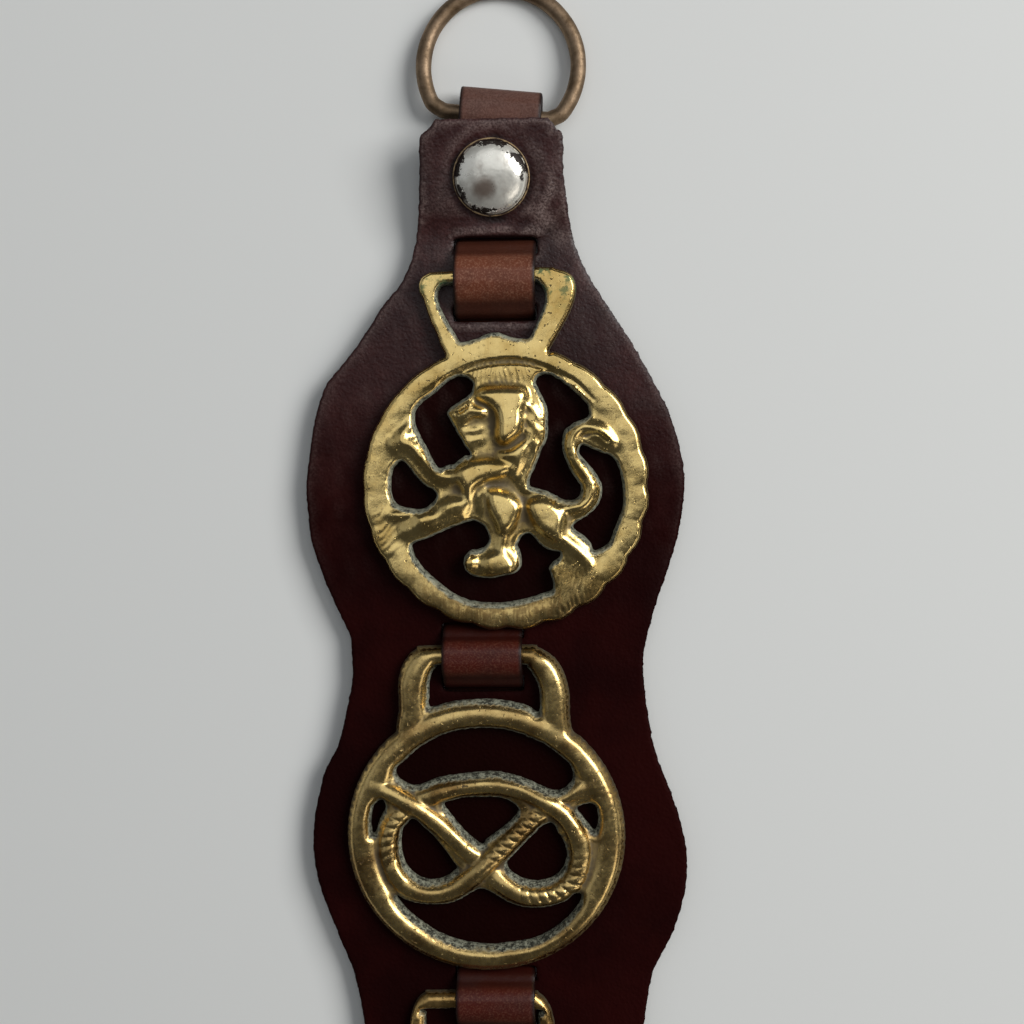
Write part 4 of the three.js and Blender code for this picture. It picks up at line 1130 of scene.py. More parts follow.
# ------------------------------------------------------------------ leather
# height up the strap, half-width on the left and on the right
BACKING_HALF_WIDTHS = (
    (0, 5, 5), (1.4, 10.5, 10.5), (5, 15.6, 15.6), (11, 18.6, 18.6), (17, 21.5, 21.3), (23, 27.6, 27.6),
    (29, 34.6, 34.8), (36, 40.4, 40.2), (43, 42.8, 42.4), (50, 43.3, 42.6), (58, 42.3, 41.4),
    (67, 39.4, 38.8), (76, 35.4, 35.2), (84.5, 32.6, 32.6), (89, 31.9, 31.9), (93.2, 32.2, 32.2),
    (104.6, 34.4, 34.2), (113.9, 37.9, 38.6), (123.7, 41.5, 41.5), (132.4, 43.2, 42.1), (140.5, 42.9, 40.6),
    (147, 41.5, 38.4), (152, 40, 36.4), (158, 36.8, 34.6), (166.9, 34.6, 33.2), (173, 33.4, 32.6),
    (178.2, 33.4, 32.7), (183.2, 33.9, 33.7), (190.7, 37.3, 35.8), (197, 39.8, 38), (204.3, 42.1, 40.2),
    (211, 42.8, 41.5), (217.8, 43.1, 42), (225, 42.1, 40.9), (231.9, 40.8, 38.9), (236, 39.5, 37.1),
    (240.4, 37.5, 34.8), (247.8, 31.3, 30.5), (256.9, 25.1, 24.7), (259.1, 23.3, 23.5), (262, 20.8, 21.6),
    (265.7, 18.9, 19.8), (269, 17.8, 18.5), (272.5, 17, 17.5), (278.5, 16.3, 16.6), (286, 15.8, 15.8),
    (292.8, 15.4, 15.7), (294.7, 13.5, 14.2), (296.7, 11.8, 12.5),
)


def backing_under(y: np.ndarray) -> np.ndarray:
    """Underside of the backing: flat, a step up over the strap's end, then a slope to the top.

    Args:
        y: places up the strap.

    Returns:
        Height of the underside there.
    """
    step = BACKING_UNDER + (y - RISE_FOOT) / (RISE_STEP - RISE_FOOT) * (RISE_HEIGHT - BACKING_UNDER)
    slope = RISE_HEIGHT + (y - RISE_STEP) * RISE_SLOPE
    return np.where(y <= RISE_FOOT, BACKING_UNDER, np.where(y <= RISE_STEP, step, slope))


@dataclass
class Backing(Piece):
    """Scalloped backing leather, with slits for the keeper and the marks of the rivet and folds."""

    node: str = "backing_leather"
    slot: Slot = Slot.BACKING
    edge_round: float = 0.8
    slit_half: tuple = (9.3, 2.0)
    slit_square: float = 0.22
    step: float = 0.45
    insets: tuple = (0.3, 0.7, 1.1)
    grid: float = 0.85
    top_points: int = 52
    tail_points: int = 22
    shank_hole: float = 2.3
    # length and reach of each unevenness of the torn edge, with its count of waves
    torn: tuple = ((0.9, 0.10, 24), (2.4, 0.12, 9), (30.0, 0.15, 9))
    # ring pressed in by the rivet: radius, width, depth
    dent: tuple = (8.7, 0.7, 0.5)
    # welt over the end of the folded strap: place up the backing, width and rise, width and dip
    welt_at: float = 272.9
    welt: tuple = (1.5, 0.30, 0.6, 0.45)
    # lip beside each slit: distance from the pass's end, width, rise
    lip: tuple = (1.2, 1.6, 0.30)
    # distance from the rivet's middle, direction, spread in angle, height
    creases: tuple = (
        (11.0, -1.2, 0.7, 0.12), (13.0, -0.5, 0.6, 0.28), (15.0, -0.8, 0.35, 0.18), (11.8, 0.3, 0.35, 0.10),
        (10.9, 2.0, 0.5, 0.08),
    )
    # middle in x and y, reach, share of the painted sheen there
    sheen_patches: tuple = (
        (12.0, 275.0, 2.2, 0.75), (14.4, 281.4, 1.6, 0.4), (8.6, 277.4, 1.4, 0.35), (15.2, 271.4, 1.8, 0.5),
        (-11.0, 268.0, 3.0, 0.15),
    )

    def outline(self) -> np.ndarray:
        """The outline: half-widths to the right going up, across the cut top, and down the left.

        Returns:
            Rows of x and y, anticlockwise.
        """
        rows = np.asarray(BACKING_HALF_WIDTHS, float)
        right = spline(np.column_stack([rows[:, 2], rows[:, 0]]), self.step, closed=False)
        left = spline(np.column_stack([-rows[:, 1], rows[:, 0]]), self.step, closed=False)[::-1]
        top = np.linspace(right[-1], left[0], self.top_points)[1:-1]
        tail = np.linspace(left[-1], right[0], self.tail_points)[1:-1]
        loop = np.vstack([right, top, left, tail])
        torn = sum(ripple(loop, length, 40 + i, waves) * reach
                   for i, (length, reach, waves) in enumerate(self.torn))
        return loop + sideways(loop) * torn[:, None]

    def slit(self, y: float) -> np.ndarray:
        """One slit across the strap's place: cosine and sine to a small power, so nearly a rectangle.

        Args:
            y: its middle up the strap.

        Returns:
            Rows of x and y.
        """
        a = np.linspace(0, 2 * math.pi, 64, endpoint=False)
        turn = np.stack([np.cos(a), np.sin(a)], 1)
        middle = np.array([float(eased(DRIFT, np.array([y]))[0]), y])
        return middle + np.array(self.slit_half) * np.sign(turn) * np.abs(turn) ** self.slit_square

    def front(self, spots: Spots, tris: np.ndarray) -> np.ndarray:
        """Front height: the underside's step softened, less a rounded edge, with dents and creases.

        The rivet has pressed a ring into the leather, the folded strap lifts a low welt under it, and
        creases run round the rivet at its lower right.

        Args:
            spots: points of the front.
            tris: triangles between them.

        Returns:
            Height of each point over the ground.
        """
        xy = spots.xy
        y = xy[:, 1]
        lift = np.mean([backing_under(y + d) for d in np.linspace(-2.2, 2.2, 9)], axis=0)
        t = 1 - np.clip(spots.depth / self.edge_round, 0, 1)
        top = lift + BACKING_THICK - 0.35 * t**2
        top += ripple(xy, 16.0, 51) * 0.10 + ripple(xy, 5.0, 52) * 0.03
        off = xy - CAP_AT
        radius = np.hypot(*off.T)
        ring, width, depth = self.dent
        top -= depth * bell(radius - ring, width) * (0.6 + 0.4 * ripple(xy, 8.0, 53))
        under = y - self.welt_at - 0.3 * ripple(xy, 9.0, 54)
        width, rise, narrow, dip = self.welt
        across = bell(xy[:, 0] - 0.6, STRAP_WIDTH / 2, 6)
        top += across * (rise * bell(under, width) - dip * bell(under + 1.7, narrow))
        angle = np.arctan2(off[:, 1], off[:, 0])
        for reach, middle, spread, rise in self.creases:
            line = radius - reach - 1.1 * (angle - middle) ** 2
            fold = bell(line, 1.0) - 0.8 * bell(line - 1.8, 0.9)
            top += rise * bell(angle - middle, spread) * fold
        start, width, rise = self.lip
        for keeper in KEEPERS:
            for place, side in ((keeper.upper, 1), (keeper.lower, -1)):
                beside = bell(xy[:, 0] - eased(DRIFT, np.full(len(xy), place)), STRAP_WIDTH / 2 + 0.5, 6)
                top += rise * beside * bell((y - place) * side - start, width)
        return smoothed(top, tris, 1)

    def marks(self, sheet: PiercedSheet, spots: Spots, top: np.ndarray, tris: np.ndarray) -> dict:
        """Hollows and the shade under each brass, both painted dark, places of painted sheen, and the cut
        edge.

        Args:
            sheet: the backing's sheet, not used here.
            spots: points of its front.
            top: their heights.
            tris: triangles between them.

        Returns:
            One array of values for each mark.
        """
        under = np.zeros(len(top))
        # painted sheen: the crests of creases and welts are paler, and so are the listed patches beside the
        # rivet
        rubbed = np.clip((top - smoothed(top, tris, 8)) / 0.1, 0, 1) * 0.6
        for x, y, reach, share in self.sheen_patches:
            rubbed += share * bell(np.hypot(*(spots.xy - (x, y)).T), reach)
        # painted shade: the leather under and round each brass is darkened, fading out past its ring
        for at in (LION_AT, KNOT_AT, WHEEL_AT):
            radius = np.hypot(*(spots.xy - at).T)
            under = np.maximum(under, eased(((24.0, 0.8), (34.5, 0.0)), radius))
        # painted shade: the finish darkens the leather's hollows
        sunk = smoothed(top, tris, 8) - top
        return {"hollow": sunk, "under": under, "rubbed": rubbed, "cut": np.zeros(len(top))}

    def build(self) -> bpy.types.Object:
        """The backing as one pierced sheet.

        Returns:
            The linked object.
        """
        slits = [self.slit(keeper.upper - SLIT_OFF) for keeper in KEEPERS]
        slits += [self.slit(keeper.lower + SLIT_OFF) for keeper in KEEPERS]
        a = np.linspace(0, 2 * math.pi, 28, endpoint=False)
        around = self.shank_hole * np.stack([np.cos(a), np.sin(a)], 1)
        holes = slits + [hub + around for hub in (CAP_AT, TAIL_AT)]
        sheet = PiercedSheet(self.outline(), holes, self.step, self.insets, self.grid)
        return sheet.build("Backing_leather", self.front, lambda xy: backing_under(xy[:, 1]), self.marks,
                           rows=4, rough=0.22, crease=50.0)


@dataclass
class KeeperStrap(Piece):
    """Narrow strap that folds round the ring's bar and weaves through the slits over each hanger."""

    node: str = "keeper_strap"
    slot: Slot = Slot.STRAP
    bevel: float = 0.45
    section: int = 44
    step: float = 0.3
    under_by: float = 1.4  # from the backing's underside to the middle of the strap's end
    start: float = 279.5
    behind_cap: tuple = (288.0, 292.0, 294.0)
    tail_start: float = 30.0

    def line(self) -> np.ndarray:
        """Middle line as rows of (y, z, slant): the same turns as the solid's, eased at the bends.

        Returns:
            Rows at even steps of the strap's length.
        """
        back = STRAP_THICK / 2
        front = BACKING_UNDER + BACKING_THICK + back + 0.1
        fold, bar = RING_AT[1] - RING_CHORD, RING_BAR_Z
        low, mid, high = self.behind_cap
        under = [float(backing_under(np.array([y]))[0]) - self.under_by for y in (self.start, low, high)]
        rows = [
            (self.start, under[0], 0), (low, under[1], 0), (high, under[2], 0.5), (fold - 0.6, bar + 3.1, 1),
            (fold + 2.6, bar + 2.6, 1), (fold + 4.6, bar + 0.9, 1), (fold + 4.6, bar - 1.1, 1),
            (fold + 2.6, back + 0.35, 1), (fold - 1.5, back, 1), (mid, back, 0.3), (low, back, 0),
        ]
        for keeper in KEEPERS:
            top = keeper.bar_front + 0.3 + back
            rise = front + 0.78 * (top - front)
            rows += self.through(keeper.upper - SLIT_OFF, 1, back, front)
            rows += [
                (keeper.upper + 0.66 * (keeper.bar - keeper.upper), rise, 0), (keeper.bar + 1.3, top, 0),
                (keeper.bar - 1.3, top, 0), (keeper.lower + 0.66 * (keeper.bar - keeper.lower), rise, 0),
            ]
            rows += self.through(keeper.lower + SLIT_OFF, -1, back, front)[::-1]
        rows += [(self.tail_start, back, 0), (TAIL_AT[1] - 8.5, back, 0)]
        turns = np.asarray(rows, float)
        return softened(evenly(turns, round(length_along(turns)[-1] / self.step)), 7, closed=False)

    @staticmethod
    def through(y: float, side: int, back: float, front: float) -> list:
        """Turns of the strap through one slit, from behind to the front.

        Args:
            y: middle of the slit up the strap.
            side: 1 where the strap comes out downwards, or -1.
            back: height of its middle behind the backing.
            front: height of its middle in front.

        Returns:
            Rows of (y, z, slant).
        """
        steps = ((3.2, back), (1.6, back + 0.15), (0.75, back + 1), (0.3, back + 2.6), (-0.45, front - 0.7),
                 (-1.8, front + 0.35))
        return [(y + out * side, z, 0) for out, z in steps]

    def outline(self) -> np.ndarray:
        """Section as (across, out): a flat strap whose four edges are bevelled.

        Returns:
            Rows of the closed section.
        """
        w, h, b = STRAP_WIDTH / 2, STRAP_THICK / 2, self.bevel
        flat = np.linspace(-w + b, w - b, self.section // 2 - 2)
        front = np.column_stack([flat, np.full(len(flat), h)])
        back = np.column_stack([flat[::-1], np.full(len(flat), -h)])
        bevel = [(w - 0.3 * b, h - 0.35 * b), (w, h - 1.3 * b)]
        right = bevel + [(x, -z) for x, z in bevel[::-1]]
        left = [(-x, -z) for x, z in right]
        return np.vstack([front, right, back, left])[::-1]

    def build(self) -> bpy.types.Object:
        """The strap: its section carried along its line, square to it.

        Returns:
            The linked object.
        """
        line = self.line()
        along = np.gradient(line[:, :2], axis=0)
        along /= np.hypot(*along.T)[:, None]
        section = self.outline()
        across, out = section[:, 0][None], section[:, 1][None]
        x = eased(DRIFT, line[:, 0])[:, None] + across
        y = line[:, :1] + RING_TILT * line[:, 2:3] * across - along[:, 1:2] * out
        z = line[:, 1:2] + along[:, :1] * out
        rings = np.stack([x, y, z], axis=-1)
        flat = rings.reshape(-1, 3)
        side = np.tile(np.abs(section[:, 0]), len(line))
        marks = {"side": STRAP_WIDTH / 2 - side, "height": flat[:, 2]}
        return make_mesh("Keeper_strap", flat, tube(rings, closed=False), marks, 40.0)


# ------------------------------------------------------------------ ring and rivets
@dataclass
class DRing(Piece):
    """Bent wire D: a circle cut by a bar, sloping until its far arc rests on the ground."""

    node: str = "d_ring"
    slot: Slot = Slot.RING
    around: int = 40
    steps: int = 300
    corner: float = 1.6  # cut off each end of the bar, before the corners are eased
    unevenness: float = 0.03

    def build(self) -> bpy.types.Object:
        """The wire's round section carried round the D, whose corners are eased.

        Returns:
            The linked object.
        """
        end = math.asin(-RING_CHORD / RING_ARC)
        a = np.linspace(end + 0.1, math.pi - end - 0.1, 160)
        reach = RING_ARC * math.cos(end)
        arc = RING_ARC * np.stack([np.cos(a), np.sin(a)], 1)
        along = np.linspace(-reach + self.corner, reach - self.corner, 60)
        bar = np.column_stack([along, np.full(len(along), -RING_CHORD)])
        even = softened(evenly(np.vstack([arc, bar, arc[:1]]), self.steps, closed=True), 9, closed=True)
        turn = math.atan(RING_TILT)
        x = RING_AT[0] + even[:, 0] * math.cos(turn) - even[:, 1] * math.sin(turn)
        y = RING_AT[1] + even[:, 0] * math.sin(turn) + even[:, 1] * math.cos(turn)
        z = RING_BAR_Z - (RING_BAR_Z - RING_WIRE) / (RING_ARC + RING_CHORD) * (even[:, 1] + RING_CHORD)
        path = np.stack([x, y, z], 1)
        along = np.roll(path, -1, 0) - np.roll(path, 1, 0)
        along /= np.linalg.norm(along, axis=1)[:, None]
        side = np.cross([0, 0, 1.0], along)
        side /= np.linalg.norm(side, axis=1)[:, None]
        up = np.cross(along, side)
        b = np.linspace(0, 2 * math.pi, self.around, endpoint=False)[None, :, None]
        wire = RING_WIRE + self.unevenness * (ripple(even, 7.0, 61)[:, None, None] - 1)
        rings = path[:, None] + wire * (side[:, None] * np.cos(b) + up[:, None] * np.sin(b))
        return make_mesh("D_ring_wire", rings.reshape(-1, 3), tube(rings, closed=True), {}, 60.0)


@dataclass
class CapRivet(Piece):
    """Domed cap on a flange over the leather, with its shank clenched behind."""

    node: str
    at: np.ndarray
    lean: float = 0.0
    lift: float = 0.0
    slot: Slot = Slot.CAP
    radius: float = 7.8
    flange: float = 8.45
    height: float = 3.6
    sides: int = 96

    def build(self) -> bpy.types.Object:
        """The cap's profile: a rolled flange, a dark groove, then a dome that is an elliptic quarter.

        Returns:
            The linked object.
        """
        a = np.linspace(0, math.pi / 2, 20)[1:]
        roll = np.linspace(-math.pi / 2, math.pi / 2, 9)
        flange = np.stack([self.flange - 0.25 + 0.25 * np.cos(roll), 0.25 + 0.25 * np.sin(roll)], 1)
        groove = np.array([[self.radius + 0.2, 0.42], [self.radius + 0.05, 0.3], [self.radius - 0.02, 0.7]])
        dome = np.stack([self.radius * np.cos(a), 0.7 + (self.height - 0.7) * np.sin(a)], 1)
        profile = np.vstack([[0, 0], [self.flange - 0.6, 0], flange, groove, dome])
        cap, faces = turned(profile, self.sides)
        radius = np.hypot(cap[:, 0], cap[:, 1])
        marks = np.where(radius > self.radius + 0.1, 1.0, 0.0)
        c, s = math.cos(self.lean), math.sin(self.lean)
        placed = np.stack([cap[:, 0], cap[:, 1] * c - cap[:, 2] * s, cap[:, 1] * s + cap[:, 2] * c], 1)
        seat = float(backing_under(self.at[1:2])[0]) + BACKING_THICK + RIVET_PLAY + self.lift
        placed += np.array([*self.at, seat])
        stem = np.array([[0, 0.15], [3.1, 0.15], [3.4, 0.3], [3.4, 0.6], [3.2, 0.72], [2.0, 0.75],
                         [2.0, seat + 0.3], [0, seat + 0.3]])
        shank, more = turned(stem, 32)
        shank[:, :2] += self.at
        faces += [f + len(placed) for f in more]
        found = {"flange": np.concatenate([marks, np.ones(len(shank))]),
                 "reach": np.concatenate([radius, np.full(len(shank), 9.0)])}
        return make_mesh(f"{self.node.capitalize()}_cap", np.vstack([placed, shank]), faces, found, 50.0)


# ------------------------------------------------------------------ finishes
def linear(code: str) -> tuple[float, float, float, float]:
    """An sRGB hex colour as linear light with full cover.

    Args:
        code: the colour, such as #ffffff.

    Returns:
        Red, green, blue and alpha.
    """
    parts = [int(code[i : i + 2], 16) / 255 for i in (1, 3, 5)]
    return (*[c / 12.92 if c <= 0.04045 else ((c + 0.055) / 1.055) ** 2.4 for c in parts], 1.0)


def per_mm(size: float) -> float:
    """Scale of a procedural pattern, in cells a metre, whose features are about size millimetres."""
    return 1000.0 / size


class Kind(Enum):
    """Shader nodes in use: type, sockets in the order they are given, the output read, usual settings."""

    PLACE = ("ShaderNodeTexCoord", (), "Object", {})
    MARK = ("ShaderNodeAttribute", (), "Fac", {})
    AXES = ("ShaderNodeSeparateXYZ", ("Vector",), "Y", {})
    STRETCH = ("ShaderNodeVectorMath", (0, 1), "Vector", {"operation": "MULTIPLY"})
    REACH = ("ShaderNodeVectorMath", (0, 1), "Value", {"operation": "DISTANCE"})
    CLOUDS = ("ShaderNodeTexNoise", ("Vector", "Scale", "Detail", "Roughness", "Distortion"), "Fac", {})
    CELLS = ("ShaderNodeTexVoronoi", ("Vector", "Scale"), "Distance", {"feature": "SMOOTH_F1"})
    EASE = ("ShaderNodeMapRange", (0, 1, 2, 3, 4), "Result", {"interpolation_type": "SMOOTHSTEP"})
    TIMES = ("ShaderNodeMath", (0, 1), 0, {"operation": "MULTIPLY"})
    TIMES_PLUS = ("ShaderNodeMath", (0, 1, 2), 0, {"operation": "MULTIPLY_ADD"})
    MOST = ("ShaderNodeMath", (0, 1), 0, {"operation": "MAXIMUM"})
    LAYER = ("ShaderNodeMix", (0, 6, 7), 2, {"data_type": "RGBA"})
    RELIEF = ("ShaderNodeBump", ("Height", "Distance", "Normal"), "Normal", {})
    SURFACE = ("ShaderNodeBsdfPrincipled",
               ("Base Color", "Roughness", "Normal", "Metallic", "Specular IOR Level"), "BSDF", {})
    OUTPUT = ("ShaderNodeOutputMaterial", ("Surface",), None, {})


def add(tree: bpy.types.NodeTree, kind: Kind, *inputs: object, **settings: object) -> object:
    """Adds a shader node.

    Args:
        tree: the material's node tree.
        kind: the kind of node.
        inputs: for each socket in the kind's order, a value, a hex colour or an output to link.
        settings: settings besides the kind's usual ones.

    Returns:
        The output that the kind is read by, or None for the material's end.
    """
    blender_type, order, output, usual = kind.value
    node = tree.nodes.new(blender_type)
    for name, value in {**usual, **settings}.items():
        setattr(node, name, value)
    for key, value in zip(order, inputs):
        if isinstance(value, bpy.types.NodeSocket):
            tree.links.new(value, node.inputs[key])
        else:
            node.inputs[key].default_value = linear(value) if isinstance(value, str) else value
    return None if output is None else node.outputs[output]


@dataclass(frozen=True)
class Finish:
    """Base of every finish: it makes the patterns and marks that the layers read, then the layers.

    A range in a finish holds the two values of a pattern between which a layer comes in, and, where
    they aren't 0 and 1, its shares at both.
    """

    # each cloudy pattern: size of its features in millimetres, levels of detail, roughness
    CLOUDS: ClassVar[dict] = {}
    MARKS: ClassVar[tuple] = ()

    name: str

    def build(self) -> bpy.types.Material:
        """The material, made from the layers of the finish.

        Returns:
            The material.
        """
        material = bpy.data.materials.new(self.name)
        material.use_nodes = True
        material.node_tree.nodes.clear()
        lay = partial(add, material.node_tree)
        seen = {mark: lay(Kind.MARK, attribute_name=mark) for mark in self.MARKS}
        if self.CLOUDS:
            seen["at"] = lay(Kind.PLACE)
        for pattern, (size, *levels) in self.CLOUDS.items():
            seen[pattern] = lay(Kind.CLOUDS, seen["at"], per_mm(size), *levels)
        lay(Kind.OUTPUT, self.surface(lay, SimpleNamespace(**seen)))
        return material

    def surface(self, lay: Callable, see: SimpleNamespace) -> object:
        """The finish's surface shader, its nodes added by lay over the patterns and marks in see.

        Args:
            lay: adds a node to the finish's tree.
            see: the finish's patterns and marks.

        Returns:
            The shader's output.
        """
        raise NotImplementedError


@dataclass(frozen=True)
class CastBrassFinish(Finish):
    """Sand-cast brass, rubbed bright on its high parts for years.

    The eye sees a warm yellow metal with fine strokes of the polishing cloth, brown streaks low on
    the casting that are painted shade, brown oxide left in the hollows and pits, a crust of dried
    pale polish on the side walls and in the deepest hollows, painted shade on the side walls, and a
    little green copper salt where the cloth does not reach.
    """

    CLOUDS: ClassVar[dict] = {
        "broad": (9.0, 5.0, 0.6),  # slow changes of tone
        "fine": (1.1, 6.0, 0.65),  # grain of the sand mould
        "grit": (0.35, 3.0, 0.6),  # grain of the dried polish
        "specks": (0.85, 2.0, 0.5),  # pits
        "patches": (3.0, 6.0, 0.7),  # spread of the copper salt
    }
    MARKS: ClassVar[tuple] = ("hollow", "rim", "cut")
    CLOTH_MM: ClassVar[float] = 0.5
    CLOTH_WAY: ClassVar[tuple] = (1.0, 0.11, 0.3)  # the strokes run up and down the strap

    bright: str = "#ebce88"
    warm: str = "#c3a25e"
    # brown of the streaks of painted shade low on the casting
    streak_shade: str = "#715634"
    oxide: str = "#3c3223"
    polish: str = "#9c9d88"
    # dark grains of the crust, and the painted shade on the side walls
    grime_and_shade: str = "#2b2a20"
    salt: str = "#3f6540"
    warm_over: tuple = (0.36, 0.74)
    strokes_over: tuple = (0.52, 0.72, 0.0, 0.40)
    streaks_over: tuple = (0.40, 0.56, 0.35, 0.9)
    hollow_over: tuple = (0.20, 0.59)
    pits_over: tuple = (0.655, 0.72)
    pits_where: tuple = (0.42, 0.58, 0.15, 0.9)
    wall_over: tuple = (1.75, 1.25)
    wall_share: tuple = (0.28, 0.5, 0.6, 1.0)
    deep_over: tuple = (0.75, 1.1, 0.0, 0.25)
    salt_over: tuple = (0.50, 0.62, 0.0, 0.85)
    gloss: float = 0.17
    chalk_from: float = 0.40
    salt_above: float = 1.0
    # metres up, under which brown streaks come in as painted shade; the default leaves them out
    shade_below: float = -1.0

    def surface(self, lay: Callable, see: SimpleNamespace) -> object:
        """Layers: tone, strokes, low streaks of painted shade, oxide in hollows and pits, crust, green salt.

        Args:
            lay: adds a node to the finish's tree.
            see: the finish's patterns and marks.

        Returns:
            The shader's output.
        """
        up = lay(Kind.AXES, see.at)
        cloth = lay(Kind.STRETCH, see.at, self.CLOTH_WAY)
        strokes = lay(Kind.CLOUDS, cloth, per_mm(self.CLOTH_MM), 4.0, 0.65)
        metal = lay(Kind.LAYER, lay(Kind.EASE, see.broad, *self.warm_over), self.bright, self.warm)
        metal = lay(Kind.LAYER, lay(Kind.EASE, strokes, *self.strokes_over), metal, self.warm)
        # painted shade: brown streaks come in towards the bottom of the casting
        low = lay(Kind.EASE, up, self.shade_below, self.shade_below - 14 * MM, 0.0, 0.9)
        streaks = lay(Kind.TIMES_PLUS, strokes, 0.5, lay(Kind.TIMES, see.fine, 0.5))
        streaks = lay(Kind.TIMES, low, lay(Kind.EASE, streaks, *self.streaks_over))
        metal = lay(Kind.LAYER, streaks, metal, self.streak_shade)
        sunk = lay(Kind.TIMES_PLUS, see.fine, 0.34, see.hollow)
        pits = lay(Kind.EASE, see.specks, *self.pits_over)
        pits = lay(Kind.TIMES, pits, lay(Kind.EASE, see.broad, *self.pits_where))
        oxide = lay(Kind.MOST, lay(Kind.EASE, sunk, *self.hollow_over), pits)
        metal = lay(Kind.LAYER, lay(Kind.TIMES, oxide, 0.92), metal, self.oxide)

        wall = lay(Kind.EASE, lay(Kind.TIMES_PLUS, see.fine, 1.3, see.rim), *self.wall_over)
        crust = lay(Kind.TIMES, wall, lay(Kind.EASE, see.broad, *self.wall_share))
        crust = lay(Kind.MOST, crust, lay(Kind.EASE, sunk, *self.deep_over))
        chalk = lay(Kind.TIMES_PLUS, see.fine, 0.6, lay(Kind.TIMES, see.grit, 0.4))
        chalk = lay(Kind.EASE, chalk, self.chalk_from, self.chalk_from + 0.16)
        chalk = lay(Kind.LAYER, chalk, self.grime_and_shade, self.polish)
        # painted shade: the side walls are darkened
        chalk = lay(Kind.LAYER, lay(Kind.TIMES, see.cut, 0.45), chalk, self.grime_and_shade)
        patch = lay(Kind.EASE, see.patches, *self.salt_over)
        green = lay(Kind.TIMES, patch, lay(Kind.EASE, up, self.salt_above, self.salt_above + 8 * MM))
        colour = lay(Kind.LAYER, green, lay(Kind.LAYER, crust, metal, chalk), self.salt)

        dull = lay(Kind.MOST, crust, lay(Kind.TIMES, green, 0.7))
        rough = lay(Kind.EASE, see.fine, 0.3, 0.8, self.gloss, self.gloss + 0.14)
        rough = lay(Kind.TIMES_PLUS, oxide, 0.25, lay(Kind.TIMES_PLUS, streaks, 0.12, rough))
        rough = lay(Kind.MOST, rough, lay(Kind.TIMES, dull, 0.85))
        metallic = lay(Kind.EASE, lay(Kind.MOST, dull, lay(Kind.TIMES, oxide, 0.7)), 0.1, 0.9, 1.0, 0.0)
        normal = lay(Kind.RELIEF, see.fine, 0.035 * MM)
        normal = lay(Kind.RELIEF, strokes, 0.02 * MM, normal)
        normal = lay(Kind.RELIEF, pits, -0.12 * MM, normal)
        normal = lay(Kind.RELIEF, lay(Kind.TIMES, see.fine, crust), 0.2 * MM, normal)
        return lay(Kind.SURFACE, colour, rough, normal, metallic)


